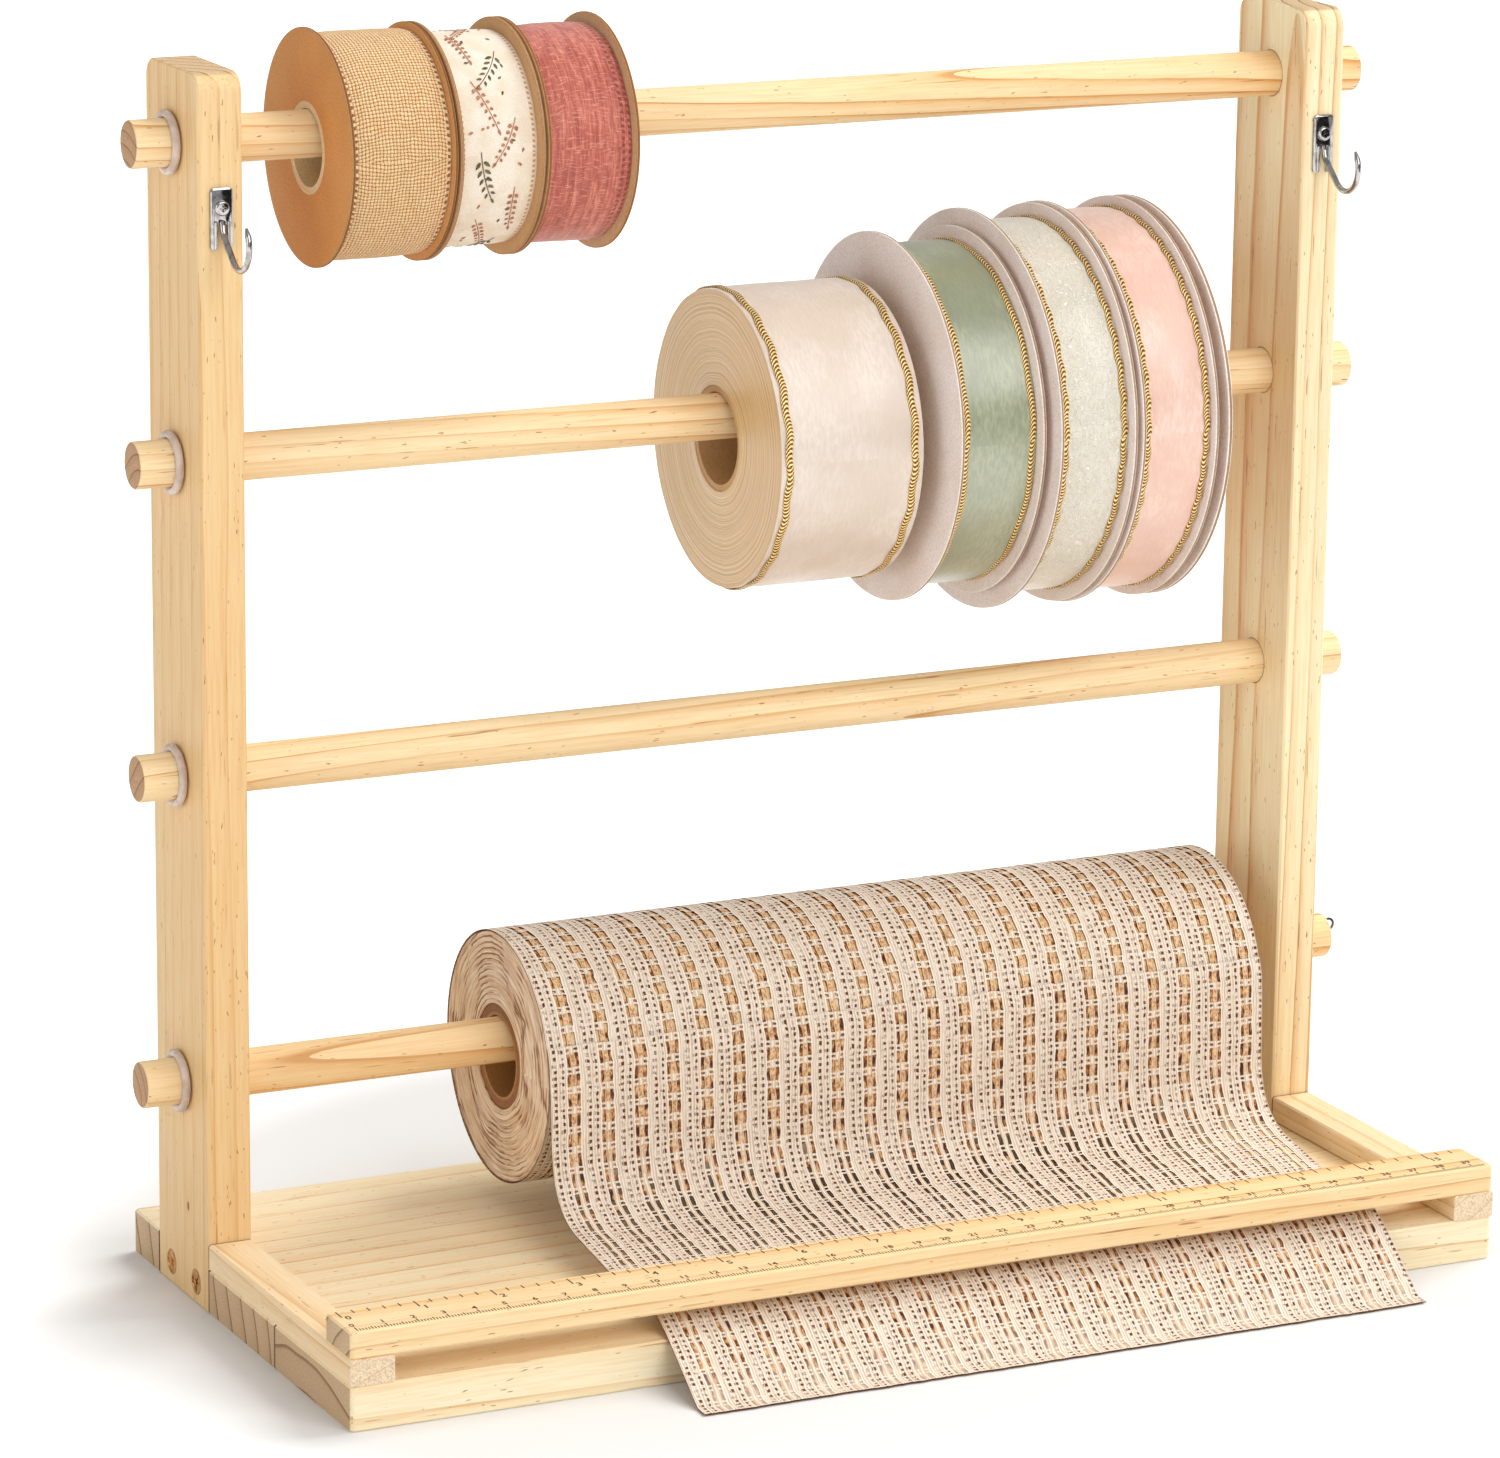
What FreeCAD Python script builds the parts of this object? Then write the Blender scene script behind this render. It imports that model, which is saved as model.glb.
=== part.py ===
# Ribbon spool dispenser: a free-standing pine rack with four removable rods, a ruler bar
# over a dispensing slot, two cup hooks, ribbon spools and one wide roll of woven mesh.
# Millimetres. +Z is up and the floor is Z = 0. X runs along the ruler bar, and ribbon is
# drawn out towards -Y. The origin is the middle of the base board's underside.
import FreeCAD, Part

import math
import os

# Boards of the frame
board_width = 400.0
base_depth = 185.0
board_thickness = 14.5
post_depth = 44.0
post_height = 393.0
post_setback = 117.5
post_crown_radius = 6.0
rail_height = 8.5
bar_depth = 20.5
bar_thickness = 8.8
corner_radius = 2.0
edge_break = 0.6

# Rods
rod_diameter = 14.9
rod_left_overhang = 14.0
rod_right_overhang = 16.0
rod_clearance = 0.08
rod_end_chamfer = 0.7
first_rod_height = 71.0
top_rod_drop = 23.5
rod_count = 4

# Rubber rings that keep the rods in the posts
ring_wall = 2.5
ring_width = 2.6
ring_clearance = 0.05
ring_gap = 0.4

# Countersunk screws through the posts into the base
pilot_clearance = 0.05
frame_head_diameter = 7.8
frame_head_depth = 2.6
frame_shank_diameter = 4.0
frame_screw_length = 38.0
frame_screw_spacing = 21.7

# Cup hooks on the posts
hook_plate_width = 7.2
hook_plate_height = 19.0
hook_plate_thickness = 1.0
hook_plate_drop = 34.5
hook_corner_radius = 1.2
hook_wire_diameter = 2.0
hook_wire_drop = 13.0
hook_bowl_radius = 8.0
hook_bowl_setback = 15.5
hook_bowl_drop = 15.0
hook_toe_in = 30.0
hook_tip_length = 1.5
hook_screw_drop = 6.2
hook_head_diameter = 4.8
hook_head_height = 1.2
hook_shank_diameter = 2.4
hook_screw_length = 12.0

# Wire eye in the end of the lowest rod
eye_wire_diameter = 0.9
eye_radius = 1.9
eye_arc = 300.0
eye_shank_length = 6.0
eye_standoff = 0.6
eye_height = 3.4

# Flats that stand for a circle on the small and the often repeated pieces
reel_sides = 28
ring_sides = 20
screw_sides = 16
hook_wire_sides = 8
eye_wire_sides = 6

# Card reels: cores, flanges and ribbon
flange_thickness = 1.2
seat_gap = 0.3
spool_gap = 0.8
card_bore_radius = 12.2
card_core_wall = 1.5

# Spools on the top rod, from the left post
top_spools_setoff = 29.8
top_flange_radius = 37.0
top_ribbon_widths = [32.5, 26.0, 28.5]
top_ribbon_radii = [35.0, 33.2, 33.8]
top_spool_names = ["burlap", "sprig", "rose"]

# Spools on the second rod, the last of them set off from the right post
second_spools_setoff = 48.5
satin_width = 50.0
satin_radius = 48.3
satin_bore_radius = 15.0
satin_core_wall = 2.2
second_spool_gaps = [7.4, 2.4, 1.6]
second_ribbon_widths = [28.0, 25.4, 25.4]
second_ribbon_radii = [55.5, 60.8, 62.3]
second_flange_radii = [60.0, 65.4, 65.9]
second_spool_names = ["sage", "ivory", "blush"]
end_disc_gap = 3.4
end_disc_thickness = 1.6

# Roll of woven mesh on the lowest rod, set off from the right post
roll_setoff = 17.0
roll_width = 260.0
roll_radius = 41.3
roll_bore_radius = 13.4
roll_core_wall = 3.9

# Length of mesh drawn off the roll, through the slot and over the base's front edge
mesh_width = 254.0
mesh_drift = 5.5
mesh_thickness = 0.8
mesh_leave_angle = 19.0
mesh_knee_rise = 22.0
mesh_knee_radius = 22.0
mesh_slot_run = 9.0
mesh_bar_gap = 1.7
mesh_slot_radius = 60.0
mesh_bar_radius = 20.0
mesh_lip_lift = 0.5
mesh_lip_radius = 9.0
mesh_fall_reach = 24.0
mesh_toe_length = 9.0
mesh_toe_radius = 6.0
mesh_floor_gap = 0.3

# Places worked out from the sizes above
half_width = board_width / 2
base_front = -base_depth / 2
base_back = base_depth / 2
post_front = base_front + post_setback
post_back = post_front + post_depth
post_middle = post_front + post_depth / 2
post_inner = half_width - board_thickness
post_centre = half_width - board_thickness / 2
rail_top = board_thickness + rail_height
bar_top = rail_top + bar_thickness
rod_radius = rod_diameter / 2
rod_length = rod_left_overhang + board_width + rod_right_overhang
rod_left_end = -half_width - rod_left_overhang
rod_right_end = half_width + rod_right_overhang
top_rod_height = post_height - top_rod_drop
rod_pitch = (top_rod_height - first_rod_height) / (rod_count - 1)
rod_heights = [first_rod_height + rod_pitch * i for i in range(rod_count)]
second_rod_height = rod_heights[-2]
ring_radius = rod_radius + ring_clearance + ring_wall
roll_start = post_inner - roll_setoff - roll_width
hook_plate_top = post_height - hook_plate_drop
hook_plate_front = post_front - hook_plate_thickness
hook_screw_height = hook_plate_top - hook_screw_drop

x_way = FreeCAD.Vector(1, 0, 0)
y_way = FreeCAD.Vector(0, 1, 0)
z_way = FreeCAD.Vector(0, 0, 1)


def vec(x, y, z):
    return FreeCAD.Vector(x, y, z)


def block(low, high):
    return Part.makeBox(high[0] - low[0], high[1] - low[1], high[2] - low[2], vec(*low))


# Edges of a shape that run along a direction, and edges that lie square to it
def edges_along(shape, way):
    straight = [edge for edge in shape.Edges if edge.Curve.TypeId == "Part::GeomLine"]
    return [edge for edge in straight if abs(edge.tangentAt(edge.FirstParameter) * way) > 0.99]


def edges_square_to(shape, way):
    ends = [(edge, edge.firstVertex().Point, edge.lastVertex().Point) for edge in shape.Edges]
    return [edge for edge, first, last in ends if abs((last - first) * way) < edge_break]


# A board with rounded corners and broken edges, as it comes from the sander
def sanded_board(low, high):
    board = block(low, high)
    board = board.makeFillet(corner_radius, edges_along(board, z_way))
    return board.makeChamfer(edge_break, edges_square_to(board, z_way))


# A closed outline of equal flats, with its corners on a circle, square to a direction
def flat_ring(radius, sides, centre, way):
    step = 2 * math.pi / sides
    corners = [vec(radius * math.cos(i * step), radius * math.sin(i * step), 0) for i in range(sides)]
    outline = Part.makePolygon(corners + corners[:1])
    outline.Placement = FreeCAD.Placement(centre, FreeCAD.Rotation(z_way, way))
    return outline


def prism(radius, sides, start, way, length):
    return Part.Face(flat_ring(radius, sides, start, way)).extrude(way * length)


def x_tube(outer, inner, sides, start, length, z):
    end = vec(start, post_middle, z)
    return prism(outer, sides, end, x_way, length).cut(prism(inner, sides, end, x_way, length))


def export(name, *solids):
    shape = solids[0] if len(solids) == 1 else Part.makeCompound(list(solids))
    shape.exportStep(f"parts/{name}.step")


def mirrored(shape):
    return shape.mirror(vec(0, 0, 0), x_way)


# A countersunk screw from its head's face inwards, or with a clearance the hole for it
def countersunk(length, head_face, way, clearance=0.0):
    head_radius = frame_head_diameter / 2 + clearance
    shank_radius = frame_shank_diameter / 2 + clearance
    neck = head_face + way * frame_head_depth
    head_outline = flat_ring(head_radius, screw_sides, head_face, way)
    neck_outline = flat_ring(shank_radius, screw_sides, neck, way)
    head = Part.makeLoft([head_outline, neck_outline], True, True)
    shank = prism(shank_radius, screw_sides, neck, way, length - frame_head_depth + clearance)
    return head.fuse(shank).removeSplitter()


# The head's face and the direction of each screw through a post, left then right
def post_screw_places():
    places = []
    for side in (-1, 1):
        for offset in (-frame_screw_spacing / 2, frame_screw_spacing / 2):
            head_face = vec(side * half_width, post_middle + offset, board_thickness / 2)
            places.append((head_face, x_way * -side))
    return places


def drill_for_post_screws(shape):
    for head_face, way in post_screw_places():
        shape = shape.cut(countersunk(frame_screw_length, head_face, way, pilot_clearance))
    return shape


# The base board, notched at both ends for the posts
def base_board():
    board = sanded_board((-half_width, base_front, 0), (half_width, base_back, board_thickness))
    notch = block((post_inner, post_front, 0), (half_width, post_back, board_thickness))
    return drill_for_post_screws(board.cut(notch).cut(mirrored(notch)))


# A post's outline, seen from its side, with a rounded crown front and back
def post_blank():
    crown_start = post_height - post_crown_radius
    bow = post_crown_radius * (1 - math.sqrt(0.5))
    back_foot = vec(post_inner, post_back, 0)
    front_foot = vec(post_inner, post_front, 0)
    front_low = vec(post_inner, post_front, crown_start)
    front_mid = vec(post_inner, post_front + bow, post_height - bow)
    front_top = vec(post_inner, post_front + post_crown_radius, post_height)
    back_top = vec(post_inner, post_back - post_crown_radius, post_height)
    back_mid = vec(post_inner, post_back - bow, post_height - bow)
    back_low = vec(post_inner, post_back, crown_start)
    edges = [
        Part.makeLine(back_foot, front_foot),
        Part.makeLine(front_foot, front_low),
        Part.Arc(front_low, front_mid, front_top).toShape(),
        Part.makeLine(front_top, back_top),
        Part.Arc(back_top, back_mid, back_low).toShape(),
        Part.makeLine(back_low, back_foot),
    ]
    blank = Part.Face(Part.Wire(edges)).extrude(x_way * board_thickness)
    return blank.makeChamfer(edge_break, edges_square_to(blank, x_way))


def right_post():
    post = post_blank()
    for height in rod_heights:
        hole_radius = rod_radius + rod_clearance
        start = vec(post_inner, post_middle, height)
        post = post.cut(Part.makeCylinder(hole_radius, board_thickness, start, x_way))
    return drill_for_post_screws(post.cut(hook_screw_shank(pilot_clearance)))


# The rail on the base's end that lifts the ruler bar and leaves the slot under it
def right_rail():
    rail = block((post_inner, base_front, board_thickness), (half_width, post_front, rail_top))
    return rail.makeChamfer(edge_break, edges_along(rail, y_way))


def ruler_bar():
    low = (-half_width, base_front, rail_top)
    return sanded_board(low, (half_width, base_front + bar_depth, bar_top))


def rod(height):
    end = rod_length - rod_end_chamfer
    profile = [
        vec(0, 0, 0),
        vec(0, rod_radius - rod_end_chamfer, 0),
        vec(rod_end_chamfer, rod_radius, 0),
        vec(end, rod_radius, 0),
        vec(rod_length, rod_radius - rod_end_chamfer, 0),
        vec(rod_length, 0, 0),
        vec(0, 0, 0),
    ]
    shape = Part.Face(Part.makePolygon(profile)).revolve(vec(0, 0, 0), x_way, 360)
    shape.translate(vec(rod_left_end, post_middle, height))
    return shape


# A ring's flats clear the round rod by the stated clearance
def right_ring(height):
    inner = (rod_radius + ring_clearance) / math.cos(math.pi / ring_sides)
    start = half_width + ring_gap
    return x_tube(ring_radius, inner, ring_sides, start, ring_width, height)


# A cup hook's wire: straight out of its plate, round the bowl and a short straight toe
def hook_wire():
    radius = hook_wire_diameter / 2
    root = vec(post_centre, hook_plate_front, hook_plate_top - hook_wire_drop)
    bowl = vec(post_centre, post_front - hook_bowl_setback, hook_plate_top - hook_bowl_drop)
    to_root = root - bowl
    root_angle = math.atan2(to_root.z, to_root.y)
    touch_angle = root_angle - math.acos(hook_bowl_radius / to_root.Length)
    arm = vec(0, math.cos(touch_angle), math.sin(touch_angle)) * hook_bowl_radius
    touch = bowl + arm
    way = (touch - root).normalize()
    start = root - way * hook_plate_thickness
    straight = prism(radius, hook_wire_sides, start, way, (touch - start).Length)
    sweep = math.degrees(touch_angle) + 180 + hook_toe_in
    section = Part.Face(flat_ring(radius, hook_wire_sides, touch, way))
    curve = section.revolve(bowl, -x_way, sweep)
    turn = FreeCAD.Rotation(-x_way, sweep)
    toe = prism(radius, hook_wire_sides, bowl + turn.multVec(arm), turn.multVec(way), hook_tip_length)
    return straight.fuse([curve, toe])


def hook_plate():
    left = post_centre - hook_plate_width / 2
    low = (left, hook_plate_front, hook_plate_top - hook_plate_height)
    plate = block(low, (left + hook_plate_width, post_front, hook_plate_top))
    return plate.makeFillet(hook_corner_radius, edges_along(plate, y_way))


# Plate and wire in one piece, with nothing of the wire behind the plate
def right_hook():
    hook = hook_plate().fuse(hook_wire()).removeSplitter()
    hook = hook.cut(hook_screw_shank(pilot_clearance))
    behind = block((post_inner, post_front, 0), (half_width, post_back, post_height))
    return hook.cut(behind)


# The shank of a hook's screw, or with a clearance the hole for it
def hook_screw_shank(clearance=0.0):
    radius = hook_shank_diameter / 2 + clearance
    start = vec(post_centre, hook_plate_front, hook_screw_height)
    return prism(radius, screw_sides, start, y_way, hook_screw_length + clearance)


def hook_screw():
    face = vec(post_centre, hook_plate_front, hook_screw_height)
    head = prism(hook_head_diameter / 2, screw_sides, face, -y_way, hook_head_height)
    return head.fuse(hook_screw_shank()).removeSplitter()


# The wire eye: a shank let into the rod's end, joined to an open ring that stands off it
def rod_end_eye():
    radius = eye_wire_diameter / 2
    shank = eye_shank(0.0)
    centre = vec(rod_right_end + eye_standoff + eye_radius, post_middle, first_rod_height + eye_height)
    section = Part.Face(flat_ring(radius, eye_wire_sides, centre - x_way * eye_radius, z_way))
    return shank.fuse(section.revolve(centre, y_way, eye_arc))


def eye_shank(clearance):
    radius = eye_wire_diameter / 2 + clearance
    start = vec(rod_right_end - eye_shank_length, post_middle, first_rod_height + eye_height)
    return prism(radius, eye_wire_sides, start, x_way, eye_shank_length + eye_standoff)


# A reel hangs on its rod: the top of its bore rests just clear of the rod's top
def reel_axis(rod_height, bore_radius):
    return rod_height + rod_radius + seat_gap - bore_radius


# One ribbon spool: core, two card flanges and the wound ribbon. Returns its right side
def card_spool(name, rod_height, start, width, ribbon_radius, flange_radius, with_end_disc=False):
    z = reel_axis(rod_height, card_bore_radius)
    core_radius = card_bore_radius + card_core_wall
    right_flange = start + flange_thickness + width
    flanges = [
        x_tube(flange_radius, core_radius, reel_sides, start, flange_thickness, z),
        x_tube(flange_radius, core_radius, reel_sides, right_flange, flange_thickness, z),
    ]
    reel_end = right_flange + flange_thickness
    if with_end_disc:
        disc = reel_end + end_disc_gap
        flanges.append(x_tube(flange_radius, core_radius, reel_sides, disc, end_disc_thickness, z))
        reel_end = disc + end_disc_thickness
    core = x_tube(core_radius, card_bore_radius, reel_sides, start, reel_end - start, z)
    ribbon = x_tube(ribbon_radius, core_radius, reel_sides, start + flange_thickness, width, z)
    export(f"{name}_core", core)
    export(f"{name}_flanges", *flanges)
    export(f"{name}_ribbon", ribbon)
    return reel_end


def top_rod_spools():
    start = top_spools_setoff - post_inner
    for name, width, radius in zip(top_spool_names, top_ribbon_widths, top_ribbon_radii):
        end = card_spool(name, top_rod_height, start, width, radius, top_flange_radius)
        start = end + spool_gap


# A winding on a plain tube of its own width. Returns its right side
def plain_roll(core_name, winding_name, rod_height, start, width, radius, bore_radius, core_wall):
    z = reel_axis(rod_height, bore_radius)
    core_radius = bore_radius + core_wall
    export(core_name, x_tube(core_radius, bore_radius, reel_sides, start, width, z))
    export(winding_name, x_tube(radius, core_radius, reel_sides, start, width, z))
    return start + width


def second_rod_spools():
    spools_width = satin_width + sum(second_spool_gaps) + sum(second_ribbon_widths)
    spools_width += 2 * flange_thickness * len(second_spool_names) + end_disc_gap + end_disc_thickness
    start = post_inner - second_spools_setoff - spools_width
    tube = satin_bore_radius, satin_core_wall
    end = plain_roll(
        "satin_core", "satin_ribbon", second_rod_height, start, satin_width, satin_radius, *tube
    )
    last = second_spool_names[-1]
    for i, name in enumerate(second_spool_names):
        start = end + second_spool_gaps[i]
        width = second_ribbon_widths[i]
        radii = second_ribbon_radii[i], second_flange_radii[i]
        end = card_spool(name, second_rod_height, start, width, *radii, name == last)


def mesh_roll():
    tube = roll_bore_radius, roll_core_wall
    names = "mesh_roll_core", "mesh_roll_winding"
    plain_roll(*names, first_rod_height, roll_start, roll_width, roll_radius, *tube)


# The mesh's middle line, seen from the side: (y, z, bend radius) at each turn, roll to toe
def mesh_route():
    half = mesh_thickness / 2
    leave = math.radians(mesh_leave_angle)
    away = roll_radius + seat_gap + half
    leave_y = post_middle - away * math.cos(leave)
    leave_z = reel_axis(first_rod_height, roll_bore_radius) + away * math.sin(leave)
    knee_z = board_thickness + mesh_knee_rise
    knee_y = leave_y - (leave_z - knee_z) * math.tan(leave)
    slot_y = base_front + bar_depth + mesh_slot_run
    slot_z = rail_top - mesh_bar_gap
    bar_y = base_front + bar_depth / 2
    lip_y = base_front - mesh_lip_lift
    lip_z = board_thickness + mesh_lip_lift + half
    toe_y = lip_y - mesh_fall_reach
    floor_z = mesh_floor_gap + half
    return [
        (leave_y, leave_z, 0),
        (knee_y, knee_z, mesh_knee_radius),
        (slot_y, slot_z, mesh_slot_radius),
        (bar_y, slot_z - half, mesh_bar_radius),
        (lip_y, lip_z, mesh_lip_radius),
        (toe_y, floor_z, mesh_toe_radius),
        (toe_y - mesh_toe_length, floor_z, 0),
    ]


# One side of the mesh: the route moved sideways by offset, with an arc at each turn
def mesh_side(route, offset):
    points = [vec(0, y, z) for y, z, radius in route]
    ways = [(b - a).normalize() for a, b in zip(points, points[1:])]
    left = [vec(0, -way.z, way.y) for way in ways]
    first = points[0] + left[0] * offset
    edges = []
    at = first
    for i in range(1, len(route) - 1):
        before, after, bend = ways[i - 1], ways[i], route[i][2]
        turn = before.getAngle(after)
        inward = 1 if before.cross(after).x > 0 else -1
        cut = bend * math.tan(turn / 2)
        centre = points[i] - before * cut + left[i - 1] * (bend * inward)
        reach = (bend - offset * inward) * inward
        start = centre - left[i - 1] * reach
        middle = centre - (left[i - 1] + left[i]).normalize() * reach
        end = centre - left[i] * reach
        edges.append(Part.makeLine(at, start))
        edges.append(Part.Arc(start, middle, end).toShape())
        at = end
    last = points[-1] + left[-1] * offset
    edges.append(Part.makeLine(at, last))
    return edges, first, last


def mesh_sheet():
    route = mesh_route()
    half = mesh_thickness / 2
    upper, upper_first, upper_last = mesh_side(route, half)
    lower, lower_first, lower_last = mesh_side(route, -half)
    toe = Part.makeLine(upper_last, lower_last)
    head = Part.makeLine(lower_first, upper_first)
    outline = Part.Wire(upper + [toe] + lower[::-1] + [head])
    sheet = Part.Face(outline).extrude(x_way * mesh_width)
    sheet.translate(vec(roll_start - mesh_drift, 0, 0))
    return sheet


def frame():
    export("base_board", base_board())
    export("right_post", right_post())
    export("left_post", mirrored(right_post()))
    export("right_rail", right_rail())
    export("left_rail", mirrored(right_rail()))
    export("ruler_bar", ruler_bar())
    screws = [countersunk(frame_screw_length, *place) for place in post_screw_places()]
    export("post_screws", *screws)
    export("cup_hooks", mirrored(right_hook()), right_hook())
    export("hook_screws", mirrored(hook_screw()), hook_screw())


# Rods are numbered from the top, each with a ring at both ends
def rods():
    for number, height in enumerate(reversed(rod_heights), start=1):
        shape = rod(height)
        if number == rod_count:
            shape = shape.cut(eye_shank(pilot_clearance))
        export(f"rod_{number}", shape)
        export(f"right_ring_{number}", right_ring(height))
        export(f"left_ring_{number}", mirrored(right_ring(height)))
    export("rod_4_eye", rod_end_eye())


os.makedirs("parts", exist_ok=True)
frame()
rods()
top_rod_spools()
second_rod_spools()
mesh_roll()
export("mesh_sheet", mesh_sheet())
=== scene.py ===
"""A ribbon spool dispenser: a pine rack with four rods, reels of ribbon, a roll of mesh, and a ruler bar.

The mesh is drawn out under the bar. Everything is in metres. The rods run along X, the front looks
towards -Y, and Z is up.
"""

import math
import random
from contextlib import contextmanager

import bmesh
import bpy
from mathutils import Matrix, Vector, noise


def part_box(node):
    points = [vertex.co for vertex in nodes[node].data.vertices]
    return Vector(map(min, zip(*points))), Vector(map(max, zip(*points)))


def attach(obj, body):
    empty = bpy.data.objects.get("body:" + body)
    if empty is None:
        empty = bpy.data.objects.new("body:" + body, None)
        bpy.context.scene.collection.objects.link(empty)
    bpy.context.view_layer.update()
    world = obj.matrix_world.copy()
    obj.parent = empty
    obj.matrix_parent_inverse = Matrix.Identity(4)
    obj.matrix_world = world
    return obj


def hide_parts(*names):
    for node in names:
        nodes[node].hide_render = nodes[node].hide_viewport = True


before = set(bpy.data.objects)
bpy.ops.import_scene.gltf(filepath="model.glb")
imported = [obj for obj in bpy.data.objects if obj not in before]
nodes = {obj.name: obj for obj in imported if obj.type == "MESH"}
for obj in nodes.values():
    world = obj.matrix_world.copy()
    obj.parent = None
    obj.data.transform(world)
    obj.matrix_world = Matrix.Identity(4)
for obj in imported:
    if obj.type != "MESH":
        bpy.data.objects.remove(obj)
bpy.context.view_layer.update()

bpy.ops.object.select_all(action="DESELECT")


# ---------------------------------------------------------------- base board
# Two planed and sanded pine boards glued edge to edge, 400 by 185 mm, notched at both ends for the posts.
# The growth rings stand nearly upright: the ends show leaning bands and the top shows long, nearly
# straight lines.


class Field:
    """A value or colour that varies over a surface. Reckoning with it adds a node to its finish."""

    def __init__(self, socket):
        self.socket = socket

    def __add__(self, other):
        return reckon("ADD", self, other)

    def __radd__(self, other):
        return reckon("ADD", other, self)

    def __sub__(self, other):
        return reckon("SUBTRACT", self, other)

    def __rsub__(self, other):
        return reckon("SUBTRACT", other, self)

    def __mul__(self, other):
        return reckon("MULTIPLY", self, other)

    def __abs__(self):
        return reckon("ABSOLUTE", self)


def seen(colour):
    """A colour as the eye reads it, 0 to 255, in a shader's linear values. Other colours pass."""
    if isinstance(colour, Field) or len(colour) == 4:
        return colour
    return tuple(((c / 255 + 0.055) / 1.055) ** 2.4 if c > 10 else c / 3294.6 for c in colour) + (1.0,)


def skin_of(finish):
    return finish.node_tree.nodes["Principled BSDF"].inputs


def new_finish(name, sockets):
    """A finish with its plain values set on the shader's own sockets."""
    finish = bpy.data.materials.new(name)
    finish.use_nodes = True
    for socket, value in sockets.items():
        skin_of(finish)[socket].default_value = value
    return finish


def step(kind, sockets, output=0, tree=None, **settings):
    """One output of a new node, in the tree of the fields it is fed. A socket takes a value or a field."""
    tree = tree or next(value.socket.id_data for value in sockets.values() if isinstance(value, Field))
    made = tree.nodes.new("ShaderNode" + kind)
    for name, value in settings.items():
        setattr(made, name, value)
    for name, value in sockets.items():
        if isinstance(value, Field):
            tree.links.new(value.socket, made.inputs[name])
        else:
            made.inputs[name].default_value = value
    return Field(made.outputs[output])


def surface(finish, output="Object"):
    """Where a point of the piece is, or with Normal which way the piece faces there."""
    return step("TexCoord", {}, output, finish.node_tree)


def reckon(operation, *values):
    return step("Math", dict(enumerate(values)), operation=operation)


def vector(operation, *values):
    return step("VectorMath", dict(enumerate(values)), operation=operation)


def span(field):
    return step("VectorMath", {0: field}, "Value", operation="LENGTH")


def part(field, axis):
    return step("SeparateXYZ", {0: field}, axis)


def stretch(field, scale):
    return step("Mapping", {"Vector": field, "Scale": scale})


def fade(value, low, high, start=0.0, stop=1.0):
    """start where the value is under low, stop where it is over high, and smooth between."""
    limits = {"Value": value, "From Min": low, "From Max": high, "To Min": start, "To Max": stop}
    return step("MapRange", limits, "Result", interpolation_type="SMOOTHSTEP")


def cloud(place, scale, detail=2.0, rough=0.5):
    return step("TexNoise", {"Vector": place, "Scale": scale, "Detail": detail, "Roughness": rough}, "Fac")


def stain(share, under, over, how="MIX"):
    """over laid on under, where share is 1."""
    return step("Mix", {0: share, 6: seen(under), 7: seen(over)}, 2, data_type="RGBA", blend_type=how)


def ramp(value, stops):
    colour = step("ValToRGB", {"Fac": value}, "Color")
    band = colour.socket.node.color_ramp.elements
    band[0].position, band[1].position = stops[0][0], stops[-1][0]
    band[0].color, band[1].color = seen(stops[0][1]), seen(stops[-1][1])
    for position, tone in stops[1:-1]:
        band.new(position).color = seen(tone)
    return colour


def coat(finish, colour, rough, height=None, depth=0.0002, strength=0.5):
    """Joins the colour, roughness and relief to the shader."""
    skin, links = skin_of(finish), finish.node_tree.links
    links.new(colour.socket, skin["Base Color"])
    links.new(rough.socket, skin["Roughness"])
    if height:
        relief = step("Bump", {"Height": height, "Distance": depth, "Strength": strength}, "Normal")
        links.new(relief.socket, skin["Normal"])
    return finish


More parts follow.
